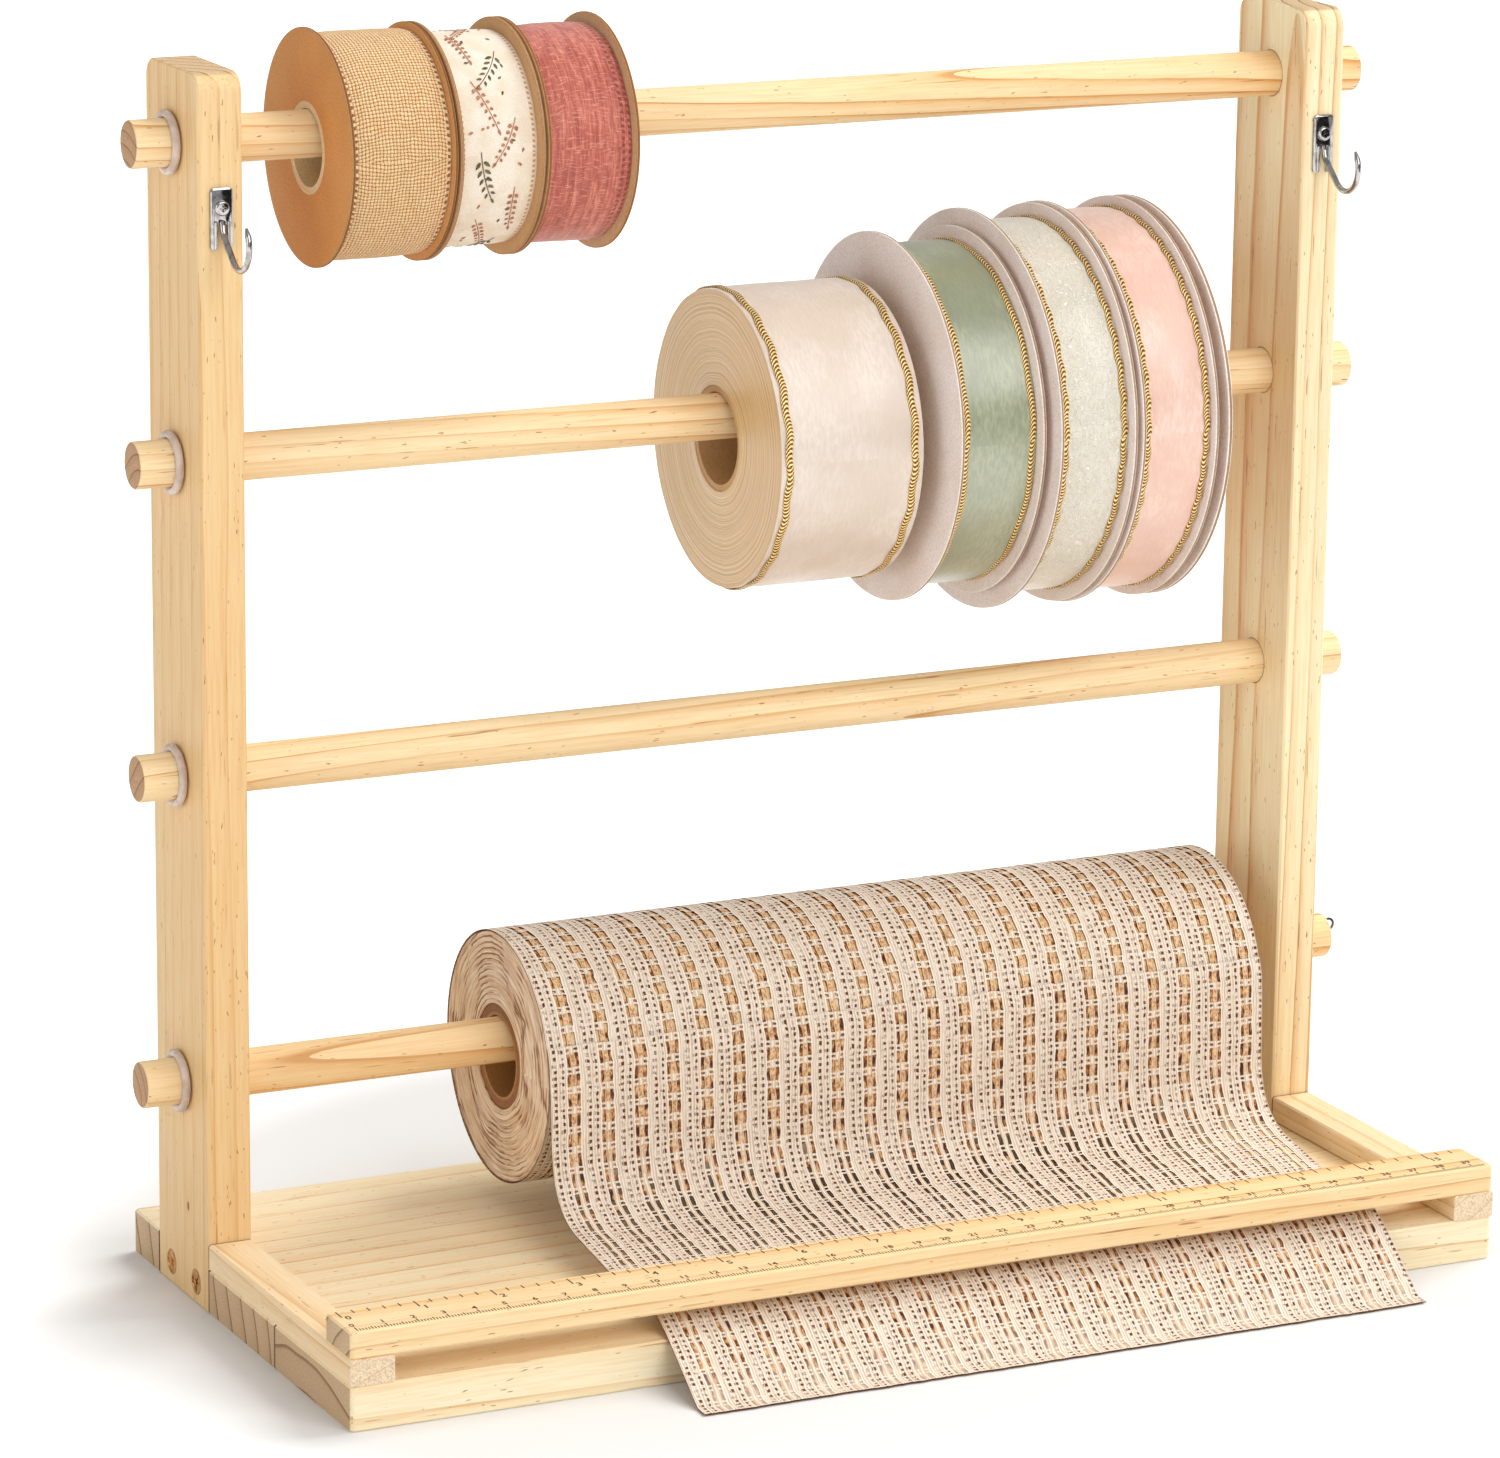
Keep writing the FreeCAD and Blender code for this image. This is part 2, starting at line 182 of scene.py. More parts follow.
def pine(name, along, heart, gap, lean=(0.0, 0.0, 0.0), knots=(), contrast=1.0, pale=(252, 229, 184),
         late=(230, 182, 114), end=(226, 194, 152), end_lines=0.8, seams=(), bored=(), glued=()):
    """Sawn pine. Its growth rings lie round a heart line, so that faces, edges and end grain agree.

    gap is a ring's width. A knot is its place and size. A seam is an axis, a place on it, another axis, and
    from where to where on that one. A hole is its centre and radius, seen along X, and a ring of painted
    shade is drawn round it. A glued joint is its place on Y, and how far away in the tree the wood before it
    grew.
    """
    finish = new_finish(name, {"Specular IOR Level": 0.3})
    place, facing = surface(finish), surface(finish, "Normal")

    def drawn(share):
        return [share if axis == along else 1.0 for axis in "XYZ"]

    def grain(share, scale, detail=1.0, rough=0.5):
        return cloud(stretch(place, drawn(share)), scale, detail, rough)

    in_tree = place
    for joint, shift in glued:
        before_joint = reckon("LESS_THAN", part(in_tree, "Y"), joint)
        shift = step("VectorMath", {0: shift, "Scale": before_joint}, operation="SCALE")
        in_tree = vector("ADD", in_tree, shift)
    trunk = {"Vector": in_tree, "Location": heart, "Rotation": lean, "Scale": drawn(7.0)}
    trunk = step("Mapping", trunk, vector_type="TEXTURE")

    swirl, core = 0.0, 0.0
    for spot, size in knots:
        oval = {"Vector": place, "Location": spot, "Scale": [size * share for share in drawn(1.8)]}
        away = span(step("Mapping", oval, vector_type="TEXTURE"))
        swirl = swirl + fade(away, 0.7, 3.0, 1.2, 0.0)
        core = core + fade(away, 0.55, 1.15, 1.0, 0.0)

    rings = {"Vector": trunk, "Scale": math.pi / (10 * gap), "Phase Offset": swirl, "Distortion": 2.4}
    rings.update({"Detail": 2.0, "Detail Scale": 0.8, "Detail Roughness": 0.42})
    rings = step("TexWave", rings, "Fac", wave_type="RINGS", rings_direction=along, wave_profile="SAW")
    darkening = ((0, 0.0), (0.45, 0.08), (0.8, 0.5), (0.95, 1.0), (1, 0.45))
    late_wood = ramp(rings, [(share, (mask, mask, mask, 1.0)) for share, mask in darkening])
    patches = fade(cloud(trunk, 22, 1.0), 0.36, 0.64, 0.3 * contrast, contrast)
    broken = fade(cloud(trunk, 60), 0.40, 0.62, 0.15 * contrast, 0.9 * contrast)
    fibre = grain(0.035, 1300, 3.0, 0.6)
    resin = fade(grain(0.2, 1300), 0.720, 0.770, 0.0, 0.8)
    flecks = fade(grain(0.05, 1150), 0.66, 0.75, 0.0, 0.9) * fade(late_wood, 0.1, 0.6, 0.12, 0.8)

    colour = stain(late_wood * patches, pale, late)
    colour = stain(fade(cloud(trunk, 9), 0.35, 0.65) * 0.55, colour, (255, 238, 214), "MULTIPLY")
    colour = stain(fade(fibre, 0.35, 0.75, 0.0, 0.35), colour, (238, 205, 158), "MULTIPLY")
    colour = stain(fade(rings, 0.90, 0.975) * broken, colour, (214, 156, 92))
    colour = stain(flecks * min(1.0, 0.4 + 0.7 * contrast), colour, (170, 112, 62))
    colour = stain(resin, colour, (168, 112, 58))
    colour = stain(core, colour, (150, 92, 48))

    red, green, blue = end
    ends = stain(fade(cloud(place, 2200), 0.40, 0.7), end, (0.84 * red, 0.84 * green, 0.84 * blue))
    ends = stain(late_wood * (0.55 * end_lines), ends, (0.76 * red, 0.67 * green, 0.56 * blue))
    ends = stain(fade(rings, 0.86, 0.95, 0.0, end_lines), ends, (0.60 * red, 0.46 * green, 0.33 * blue))
    colour = stain(fade(abs(part(facing, along)), 0.80, 0.95) * 0.95, colour, ends)

    for across, at, other, low, high in seams:
        near = fade(abs(part(place, across) - at), 0.00030, 0.00080, 0.90, 0.0)
        reach = part(place, other)
        within = reckon("GREATER_THAN", reach, low) * reckon("LESS_THAN", reach, high)
        colour = stain(near * within, colour, (96, 62, 34))
    # A dark brown ring round each hole is painted shade, where the hole's edge would fall in shadow.
    for centre, radius in bored:
        away = span(vector("MULTIPLY", vector("SUBTRACT", place, centre), (0.0, 1.0, 1.0)))
        colour = stain(fade(away, radius, radius + 0.0005, 0.75, 0.0), colour, (104, 66, 36))
    relief = fibre * 0.5 + late_wood * 0.35
    return coat(finish, colour, fade(fibre, 0.3, 0.7, 0.44, 0.60), relief, 0.00015, 0.35)


def dress(piece, *finishes):
    piece.data.materials.clear()
    for finish in finishes:
        piece.data.materials.append(finish)


post_low, post_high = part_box("left_post")
glue_line, other_tree = -0.031, (0.0, 0.351, 0.002)
near_ends = ((-1.0, -0.1985), (0.1985, 1.0))
base_seams = [("Y", at, "X", *end) for at in (post_low.y, post_high.y, glue_line) for end in near_ends]
dress(nodes["base_board"], pine(
    "base_pine", "X", (0.0, 0.30, -0.075), 0.011, (0.0, 0.010, 0.035), contrast=0.65, pale=(255, 243, 210),
    late=(243, 206, 148), end=(216, 182, 140), seams=base_seams, glued=[(glue_line, other_tree)],
))


# --------------------------------------------------------------------- posts
# Two flat pine boards, 44 by 14.5 mm, with a rounded crown. Each stands in the base's notch and is
# drilled for four rods. Their broad sides are flat sawn and show long flames; their front edges show the
# same rings as dark lines.

rod_line = 0.047
screw_spots, screw_height = (0.03615, 0.05785), 0.00725
board_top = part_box("base_board")[1].z
foot_seams = [("Y", edge, "Z", -0.001, board_top) for edge in (post_low.y, post_high.y)]
# Each screw hole and rod hole gets a ring of painted shade round it in the posts' wood.
bored = [((0.0, y, screw_height), 0.0039) for y in screw_spots]
for number in range(1, 5):
    low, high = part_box(f"rod_{number}")
    bored.append(((0.0, rod_line, (low.z + high.z) / 2), 0.0075))
left_knots = (((-0.200, 0.0425, 0.0305), 0.0010), ((-0.1985, 0.058, 0.252), 0.0012))
dress(nodes["left_post"], pine(
    "left_post_pine", "Z", (-0.300, -0.050, 0.0), 0.0058, (0.006, -0.004, 0.0), left_knots, 0.45,
    (242, 214, 166), (222, 176, 114), seams=foot_seams, bored=bored,
))
dress(nodes["right_post"], pine(
    "right_post_pine", "Z", (0.2550, 0.020, 0.0), 0.0058, (-0.010, 0.014, 0.0), (), 0.9,
    (255, 242, 202), (226, 170, 100), seams=foot_seams, bored=bored,
))


# --------------------------------------------------------------------- rails
# Two narrow pine strips glued on the base's ends, from the front edge back to the posts. They carry the
# ruler bar's ends and leave the slot under it. Their front ends show bare end grain.

rail_seams = [("Y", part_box("left_rail")[1].y, "Z", 0.0, 1.0)]
rail_tones = {"contrast": 0.55, "pale": (255, 236, 200), "end": (248, 224, 190), "end_lines": 0.15}
for name, heart, gap, lean in (
    ("left_rail", (-0.120, 0.0, -0.130), 0.0066, (0.006, 0.0, 0.004)),
    ("right_rail", (0.110, 0.0, 0.150), 0.0072, (-0.006, 0.0, 0.004)),
):
    dress(nodes[name], pine(f"{name}_pine", "Y", heart, gap, lean, seams=rail_seams, **rail_tones))


# ----------------------------------------------------------------- ruler bar
# A pine batten across the front, glued on the rails. Its top is printed in dark brown: a centimetre scale
# along the front edge, an inch scale along the back edge, and both rows of numbers between them.

dress(nodes["ruler_bar"], pine(
    "ruler_bar_pine", "X", (0.0, -0.128, -0.020), 0.0075, (0.0, 0.006, 0.014),
    contrast=0.85, end=(218, 186, 146),
))
bar_low, bar_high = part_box("ruler_bar")
scale_start = bar_low.x + 0.0030
print_depth, inch = 0.00004, 0.0254


def settle(name):
    """Names the piece just made and puts its place into its mesh."""
    piece = bpy.context.object
    piece.name = piece.data.name = name
    bpy.ops.object.transform_apply(location=True, rotation=True, scale=True)
    return piece


def alone(piece):
    bpy.ops.object.select_all(action="DESELECT")
    piece.select_set(True)
    bpy.context.view_layer.objects.active = piece


def join(name, pieces):
    """Makes one piece of several."""
    alone(pieces[0])
    for piece in pieces:
        piece.select_set(True)
    bpy.ops.object.join()
    return settle(name)


def modify(piece, kind, **settings):
    """Adds a modifier and applies it."""
    alone(piece)
    made = piece.modifiers.new(kind.title(), kind)
    for name, value in settings.items():
        setattr(made, name, value)
    bpy.ops.object.modifier_apply(modifier=made.name)
    return piece


def repeat(piece, count, pitch, **merging):
    spread = {"use_relative_offset": False, "use_constant_offset": True, "constant_offset_displace": pitch}
    return modify(piece, "ARRAY", count=count, **spread, **merging)


def scale_marks(name, y, length, pitch, count, width):
    """One printed line, repeated along the bar."""
    place = {"location": (scale_start, y, bar_high.z), "scale": (width, length, 2 * print_depth)}
    bpy.ops.mesh.primitive_cube_add(size=1.0, **place)
    return repeat(settle(name), count, (pitch, 0.0, 0.0))


def scale_number(text, x, y, size):
    bpy.ops.object.text_add(location=(scale_start + x, y, bar_high.z), radius=size)
    number = bpy.context.object.data
    number.body, number.align_x, number.extrude, number.resolution_u = str(text), "CENTER", print_depth, 2
    number.offset = 0.00006
    bpy.ops.object.convert(target="MESH")
    return settle("number")


printing = [
    scale_marks("millimetres", bar_low.y + 0.0019, 0.0016, 0.001, 395, 0.00034),
    scale_marks("half_centimetres", bar_low.y + 0.0029, 0.0009, 0.005, 79, 0.00036),
    scale_marks("centimetres", bar_low.y + 0.0036, 0.0012, 0.010, 40, 0.00042),
    scale_marks("inch_fifths", bar_high.y - 0.0027, 0.0027, inch / 5, 78, 0.00042),
    scale_marks("inches", bar_high.y - 0.0052, 0.0026, inch, 16, 0.00046),
]
printing += [scale_number(count, 0.010 * count, bar_low.y + 0.0052, 0.0034) for count in range(40)]
printing += [scale_number(count, inch * count + 0.0017, bar_high.y - 0.0088, 0.0040) for count in range(16)]
ruler_print = join("ruler_print", printing)


def worn_finish(name, colour, other, scale, detail, low, high, rough, rougher, gloss=0.2):
    """Two tones in patches, and no relief: for ink, for print, and for the painted shade on the mesh's inner
    side and window rims.
    """
    finish = new_finish(name, {"Specular IOR Level": gloss})
    patches = fade(cloud(surface(finish), scale, detail), low, high)
    return coat(finish, stain(patches, colour, other), fade(patches, 0.0, 1.0, rough, rougher))


dress(ruler_print, worn_finish("brown_ink", (66, 42, 26), (112, 78, 50), 900, 2.0, 0.35, 0.75, 0.5, 0.7))
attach(ruler_print, "rack")


# ------------------------------------------------------------- brass screws
# Two countersunk brass screws through the foot of each post into the base's end, cross-headed and driven
# flush. The head is a cone with a thin rim, and a small dark ring of painted shade is drawn round it in the
# wood.


def brushed_metal(name, colour, dark, rough, grain=2600):
    """A turned or drawn metal with fine scratches and a little tarnish."""
    finish = new_finish(name, {"Metallic": 1.0})
    place = surface(finish)
    tone = stain(fade(cloud(place, 420, 3.0), 0.42, 0.70), colour, dark)
    scratches = cloud(place, grain, 3.0, 0.6)
    return coat(finish, tone, fade(scratches, 0.3, 0.7, rough, rough + 0.12), scratches, 0.00002, 0.15)


@contextmanager
def editing():
    bpy.ops.object.mode_set(mode="EDIT")
    yield
    bpy.ops.object.mode_set(mode="OBJECT")


def pick(kind, test):
    """Selects what passes the test, and nothing else, in edit mode."""
    bpy.ops.mesh.select_mode(type=kind)
    bpy.ops.mesh.select_all(action="DESELECT")
    shape = bmesh.from_edit_mesh(bpy.context.object.data)
    for item in {"EDGE": shape.edges, "FACE": shape.faces}[kind]:
        if test(item):
            item.select_set(True)
    shape.select_flush_mode()
    bmesh.update_edit_mesh(bpy.context.object.data)


def inset(thickness, depth):
    bpy.ops.mesh.inset(thickness=thickness, depth=depth)


def face_out():
    bpy.ops.mesh.select_all(action="SELECT")
    bpy.ops.mesh.normals_make_consistent(inside=False)


def draw_out(x, y, z):
    bpy.ops.mesh.extrude_region_move(TRANSFORM_OT_translate={"value": (x, y, z)})


def smooth(degrees):
    bpy.ops.object.shade_smooth_by_angle(angle=math.radians(degrees))


def spread_of(edge, axis):
    """How far an edge reaches along an axis."""
    return abs(edge.verts[0].co[axis] - edge.verts[1].co[axis])


def copy_of(piece, name, move):
    """A copy with a mesh of its own, moved by a matrix."""
    twin = piece.copy()
    twin.data = piece.data.copy()
    twin.name = twin.data.name = name
    bpy.context.collection.objects.link(twin)
    twin.data.transform(move)
    return twin


def cut_cross(head, width, arm, depth, top):
    """Cuts the driver's cross into a head that looks up, and leaves its arms tapered."""
    arms = []
    for turn in (0.0, math.pi / 2):
        bpy.ops.mesh.primitive_cube_add(size=1.0, location=(0.0, 0.0, top), rotation=(0.0, 0.0, turn))
        bpy.context.object.scale = (2 * arm, width, 2 * depth)
        blade = settle("blade")
        for vertex in blade.data.vertices:
            if vertex.co.z < top:
                vertex.co.x, vertex.co.y = vertex.co.x * 0.45, vertex.co.y * 0.45
        arms.append(blade)
    for blade in arms:
        modify(head, "BOOLEAN", object=blade, operation="DIFFERENCE", solver="EXACT")
    for blade in arms:
        bpy.data.objects.remove(blade)
    return head


def countersunk_screw():
    """Head up, its face at Z 0."""
    cone = {"vertices": 40, "radius1": 0.0020, "radius2": 0.0039, "depth": 0.0026}
    bpy.ops.mesh.primitive_cone_add(location=(0.0, 0.0, -0.0013), **cone)
    head = settle("screw")
    with editing():
        pick("FACE", lambda face: face.normal.z > 0.9)
        inset(0.00035, 0.0)
        inset(0.00015, -0.00022)
        pick("FACE", lambda face: face.normal.z < -0.9)
        draw_out(0.0, 0.0, -0.033)
        inset(0.0012, 0.0024)
    return cut_cross(head, 0.00105, 0.0021, 0.0016, -0.00022)


post_face = 0.20002
first_screw = countersunk_screw()
side_screws = []
for side in (-1, 1):
    for y, turn in zip(screw_spots, (0.5, 1.1)):
        place = Matrix.Translation((side * post_face, y, screw_height))
        place = place @ Matrix.Rotation(side * math.pi / 2, 4, "Y")
        side_screws.append(copy_of(first_screw, "screw", place @ Matrix.Rotation(turn * side, 4, "Z")))
bpy.data.objects.remove(first_screw)
side_screws = join("side_screws", side_screws)
smooth(30)
dress(side_screws, brushed_metal("yellow_brass", (226, 168, 96), (128, 80, 38), 0.24))
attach(side_screws, "rack")
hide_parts("post_screws")


# ----------------------------------------------------------------- cup hooks
# A chromed steel plate with a pressed channel holds a bent wire, and one pan-head screw fixes it high on
# each post's front. The wire leaves the channel, runs down and forward into a half round bowl, and ends
# in a blunt tip.

hook_x, plate_front = 0.19275, 0.0240
wire_radius = 0.0010
bowl_y, bowl_z, bowl_radius = 0.0095, 0.3435, 0.0080


def hook_plate():
    """The plate, cut open over its channel, and the channel's two rolled lips."""
    blank = {"location": (hook_x, 0.0245, 0.3490), "scale": (0.0072, 0.0010, 0.0190)}
    bpy.ops.mesh.primitive_cube_add(size=1.0, **blank)
    plate = settle("plate")
    with editing():
        pick("EDGE", lambda edge: spread_of(edge, 1) > 0.0005 and edge.verts[0].co.z > 0.35)
        bpy.ops.mesh.bevel(offset=0.0013, segments=6)
        pick("EDGE", lambda edge: spread_of(edge, 1) > 0.0005 and all(v.co.z < 0.345 for v in edge.verts))
        bpy.ops.mesh.bevel(offset=0.0011, segments=5)
        pick("FACE", lambda face: face.normal.y < -0.9)
        inset(0.00035, 0.00022)
    opening = {"location": (hook_x, 0.0242, 0.3437), "scale": (0.0030, 0.0030, 0.0088)}
    bpy.ops.mesh.primitive_cube_add(size=1.0, **opening)
    channel = settle("channel")
    with editing():
        pick("EDGE", lambda edge: spread_of(edge, 1) > 0.001 and edge.verts[0].co.z > 0.3437)
        bpy.ops.mesh.bevel(offset=0.00145, segments=6)
    modify(plate, "BOOLEAN", object=channel, operation="DIFFERENCE", solver="EXACT")
    bpy.data.objects.remove(channel)
    lips = []
    for side in (-1, 1):
        spot = (hook_x + side * 0.00205, 0.0237, 0.3440)
        bpy.ops.mesh.primitive_cylinder_add(vertices=20, radius=0.00062, depth=0.0082, location=spot)
        lips.append(settle("lip"))
        with editing():
            pick("FACE", lambda face: abs(face.normal.z) > 0.9)
            inset(0.0003, 0.0003)
    return [plate, *lips]


def hook_wire():
    """The wire's round section is spun round the bowl, then drawn to the tip and back to the channel."""
    touch = math.radians(-49)
    spot = (hook_x, bowl_y + bowl_radius * math.cos(touch), bowl_z + bowl_radius * math.sin(touch))
    section = {"vertices": 16, "radius": wire_radius, "fill_type": "NOTHING"}
    bpy.ops.mesh.primitive_circle_add(location=spot, rotation=(touch, 0.0, 0.0), **section)
    wire = settle("wire")
    bowl = {"angle": math.radians(161), "center": (hook_x, bowl_y, bowl_z), "axis": (1.0, 0.0, 0.0)}
    tip_way = Vector((0.0, 0.5, 0.866))
    back = Vector((0.0, math.sin(-touch), math.cos(touch)))
    with editing():
        bpy.ops.mesh.select_all(action="SELECT")
        bpy.ops.mesh.spin(steps=36, **bowl)
        for length, size in ((0.0012, 1.0), (0.0006, 0.86), (0.0003, 0.5)):
            draw_out(*(tip_way * length))
            bpy.ops.transform.resize(value=(size,) * 3)
        bpy.ops.mesh.edge_face_add()
        pick("EDGE", lambda edge: edge.is_boundary)
        for move in (back * 0.0095, (0.0, 0.0009, 0.0013), (0.0, 0.0004, 0.0030)):
            draw_out(*move)
        bpy.ops.mesh.edge_face_add()
        face_out()
    return wire


def pan_screw():
    pan_height = 0.0012
    pan = {"vertices": 36, "radius": 0.0024, "depth": pan_height}
    bpy.ops.mesh.primitive_cylinder_add(location=(0.0, 0.0, -pan_height / 2), **pan)
    head = settle("pan")
    with editing():
        pick("EDGE", lambda edge: all(v.co.z > -0.0001 for v in edge.verts))
        bpy.ops.mesh.bevel(offset=0.0008, segments=5)
        pick("FACE", lambda face: face.normal.z < -0.9)
        inset(0.0012, 0.0)
        draw_out(0.0, 0.0, -0.011)
    cut_cross(head, 0.00065, 0.0014, 0.0008, 0.0)
    place = Matrix.Translation((hook_x, plate_front - pan_height, 0.3523))
    head.data.transform(place @ Matrix.Rotation(math.pi / 2, 4, "X"))
    return head


right_hook = join("right_cup_hook", [*hook_plate(), hook_wire(), pan_screw()])
smooth(35)
dress(right_hook, brushed_metal("chrome", (186, 184, 182), (150, 148, 146), 0.05, 900))
left_hook = copy_of(right_hook, "left_cup_hook", Matrix.Translation((-2 * hook_x, 0.0, 0.0)))
for hook in (left_hook, right_hook):
    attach(hook, "rack")
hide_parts("cup_hooks", "hook_screws")


# ---------------------------------------------------------------------- rods
# Four turned pine rods, 14.9 mm thick and 430 mm long, pushed through both posts. Their ends are sanded
# round and show brown end grain; each is cut from other wood, so the flames along them differ.

rod_radius, along_x = 0.00745, (0.0, math.pi / 2, 0.0)
rod_tones = {"pale": (255, 232, 188), "late": (222, 166, 92), "end": (198, 150, 102)}
rod_woods = (
    ((0.0, 0.0590, 0.3440), 0.0042, (0.0, 0.020, 0.030), 1.25),
    ((0.0, 0.0350, 0.2520), 0.0048, (0.0, 0.016, -0.020), 1.0),
    ((0.0, 0.0300, 0.1520), 0.0056, (0.0, -0.015, 0.018), 1.0),
    ((0.0, 0.0640, 0.0600), 0.0050, (0.0, 0.012, 0.015), 0.9),
)
for number, (heart, gap, lean, contrast) in enumerate(rod_woods, 1):
    low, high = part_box(f"rod_{number}")
    spot = ((low.x + high.x) / 2, rod_line, (low.z + high.z) / 2)
    turned = {"vertices": 72, "radius": rod_radius, "depth": high.x - low.x, "rotation": along_x}
    bpy.ops.mesh.primitive_cylinder_add(location=spot, **turned)
    rod = settle(f"turned_rod_{number}")
    with editing():
        pick("EDGE", lambda edge: spread_of(edge, 0) < 0.001)
        bpy.ops.mesh.bevel(offset=0.0007, segments=3)
        pick("FACE", lambda face: abs(face.normal.x) > 0.98)
        inset(0.0035, -0.00008)
    smooth(30)
    dress(rod, pine(f"rod_{number}_pine", "X", heart, gap, lean, contrast=contrast, **rod_tones))
    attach(rod, f"rod_{number}")
    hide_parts(f"rod_{number}")


# --------------------------------------------------------------- stop rings
# Soft, milky silicone rings that grip the rods just outside each post. They are moulded in two halves,
# which leaves a fine line round the outside.

milky = {"Transmission Weight": 0.25, "IOR": 1.41, "Subsurface Weight": 0.35}
silicone = new_finish("milky_silicone", milky)
skin_of(silicone)["Subsurface Radius"].default_value = (0.004, 0.0035, 0.0035)
haze = cloud(surface(silicone), 260, 3.0)
milk = stain(fade(haze, 0.35, 0.65), (244, 230, 220), (224, 204, 192))
coat(silicone, milk, fade(haze, 0.3, 0.7, 0.30, 0.42), haze, 0.00004, 0.2)

ring_middle, ring_thick = 0.00874, 0.00127
torus = {"major_radius": ring_middle, "minor_radius": ring_thick, "major_segments": 64, "minor_segments": 20}
for name in [f"{side}_ring_{number}" for side in ("left", "right") for number in range(1, 5)]:
    low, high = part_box(name)
    spot = (low + high) / 2
    bpy.ops.mesh.primitive_torus_add(location=spot, rotation=along_x, **torus)
    ring = settle(f"soft_{name}")
    with editing():
        outside = lambda v: math.hypot(v.co.y - spot.y, v.co.z - spot.z) > ring_middle + ring_thick - 0.00001
        pick("EDGE", lambda edge: all(outside(v) for v in edge.verts))
        bpy.ops.mesh.bevel(offset=0.00012, segments=1)
        bpy.ops.mesh.extrude_region_shrink_fatten(TRANSFORM_OT_shrink_fatten={"value": 0.00007})
    smooth(50)
    dress(ring, silicone)
    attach(ring, name)
    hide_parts(name)


# ------------------------------------------------------------ rod 4 wire eye
# A little eye of bright steel wire, screwed into the right end of the lowest rod. Its ring is left a bit
# open.

eye_x, eye_z, eye_radius, eye_wire = 0.2185, 0.0744, 0.0019, 0.00045
section = {"vertices": 14, "radius": eye_wire}
eye_start = (eye_x - eye_radius, rod_line, eye_z)
bpy.ops.mesh.primitive_circle_add(fill_type="NOTHING", location=eye_start, **section)
eye = settle("wire_eye")
with editing():
    bpy.ops.mesh.select_all(action="SELECT")
    around = {"center": (eye_x, rod_line, eye_z), "axis": (0.0, 1.0, 0.0)}
    bpy.ops.mesh.spin(steps=40, angle=math.radians(300), **around)
    bpy.ops.mesh.edge_face_add()
    pick("EDGE", lambda edge: edge.is_boundary)
    bpy.ops.mesh.edge_face_add()
    face_out()
shank_middle = {"location": (0.21345, rod_line, eye_z), "rotation": along_x}
bpy.ops.mesh.primitive_cylinder_add(depth=0.0067, **section, **shank_middle)
shank = settle("shank")
with editing():
    pick("FACE", lambda face: abs(face.normal.x) > 0.9)
    inset(0.00015, 0.0001)
eye = join("wire_eye", [eye, shank])
smooth(40)
dress(eye, brushed_metal("steel_wire", (126, 122, 118), (64, 60, 56), 0.2))
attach(eye, "rod_4")
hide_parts("rod_4_eye")


# --------------------------------------------------------------- card reels
# The spools that the ribbon is wound on: a card tube with a flat card disc glued on each end. Small ones
# are brown kraft card; large ones are faced with greyish white paper, with a white cut edge and kraft on
# the far side.


def reel_part(name, left, right, radius, bore, height, turns=(), sides=120):
    """A drum round a rod. Its ends are inset turn by turn, and joined through the bore."""
    bpy.ops.object.select_all(action="DESELECT")
    shape = {"vertices": sides, "radius": radius, "depth": right - left, "rotation": along_x}
    bpy.ops.mesh.primitive_cylinder_add(location=((left + right) / 2, rod_line, height), **shape)
    drum = settle(name)
    with editing():
        pick("FACE", lambda face: abs(face.normal.x) > 0.9)
        for thickness, rise in turns:
            inset(thickness, rise)
        rest = radius - bore - sum(t for t, _ in turns)
        inset(rest, -sum(r for _, r in turns))
        bpy.ops.mesh.bridge_edge_loops()
    return drum


def card_disc(left, right, radius, bore, height):
    """A disc cut from card: its rims are a little broken by the knife."""
    disc = reel_part("disc", left, right, radius, bore, height)
    rim = lambda v: math.hypot(v.co.y - rod_line, v.co.z - height) > radius - 0.0002
    with editing():
        pick("EDGE", lambda edge: spread_of(edge, 0) < 0.0001 and all(rim(v) for v in edge.verts))
        bpy.ops.mesh.bevel(offset=0.00025, segments=2)
    plies = disc.data.attributes.new("ply", "FLOAT", "POINT").data
    for vertex, ply in zip(disc.data.vertices, plies):
        ply.value = (vertex.co.x - left) / (right - left)
    return disc


def card(name, height, radius, face, rim, back, lining=(236, 218, 182)):
    """Pressed card, speckled with fibres. Its layers show on the cut edge, and its bore is lined."""
    finish = new_finish(name, {"Specular IOR Level": 0.2})
    place = surface(finish)
    fibres = cloud(place, 1400, 3.0, 0.65)
    across, up = abs(part(place, "Y") - rod_line), abs(part(place, "Z") - height)
    from_rod = reckon("SQRT", reckon("POWER", across, 2.0) + reckon("POWER", up, 2.0))
    colour = stain(fade(part(surface(finish, "Normal"), "X"), 0.2, 0.6), face, back)
    ply = step("Attribute", {}, "Fac", finish.node_tree, attribute_name="ply")
    line = tuple(0.55 * c for c in back)
    layers = ((0.0, rim), (0.26, rim), (0.36, line), (0.48, back), (0.62, back), (0.74, line), (0.84, rim))
    colour = stain(fade(from_rod, radius - 0.0005, radius - 0.0002), colour, ramp(ply, layers))
    colour = stain(fade(from_rod, 0.0142, 0.0146, 1.0, 0.0), colour, lining)
    colour = stain(fade(fibres, 0.42, 0.72, 0.0, 0.5), colour, (216, 200, 184), "MULTIPLY")
    colour = stain(fade(cloud(place, 60), 0.35, 0.65, 0.0, 0.35), colour, (236, 226, 216), "MULTIPLY")
    return coat(finish, colour, fade(fibres, 0.3, 0.7, 0.62, 0.8), fibres, 0.00012, 0.3)


reel_bore, reel_tube = 0.0122, 0.0137


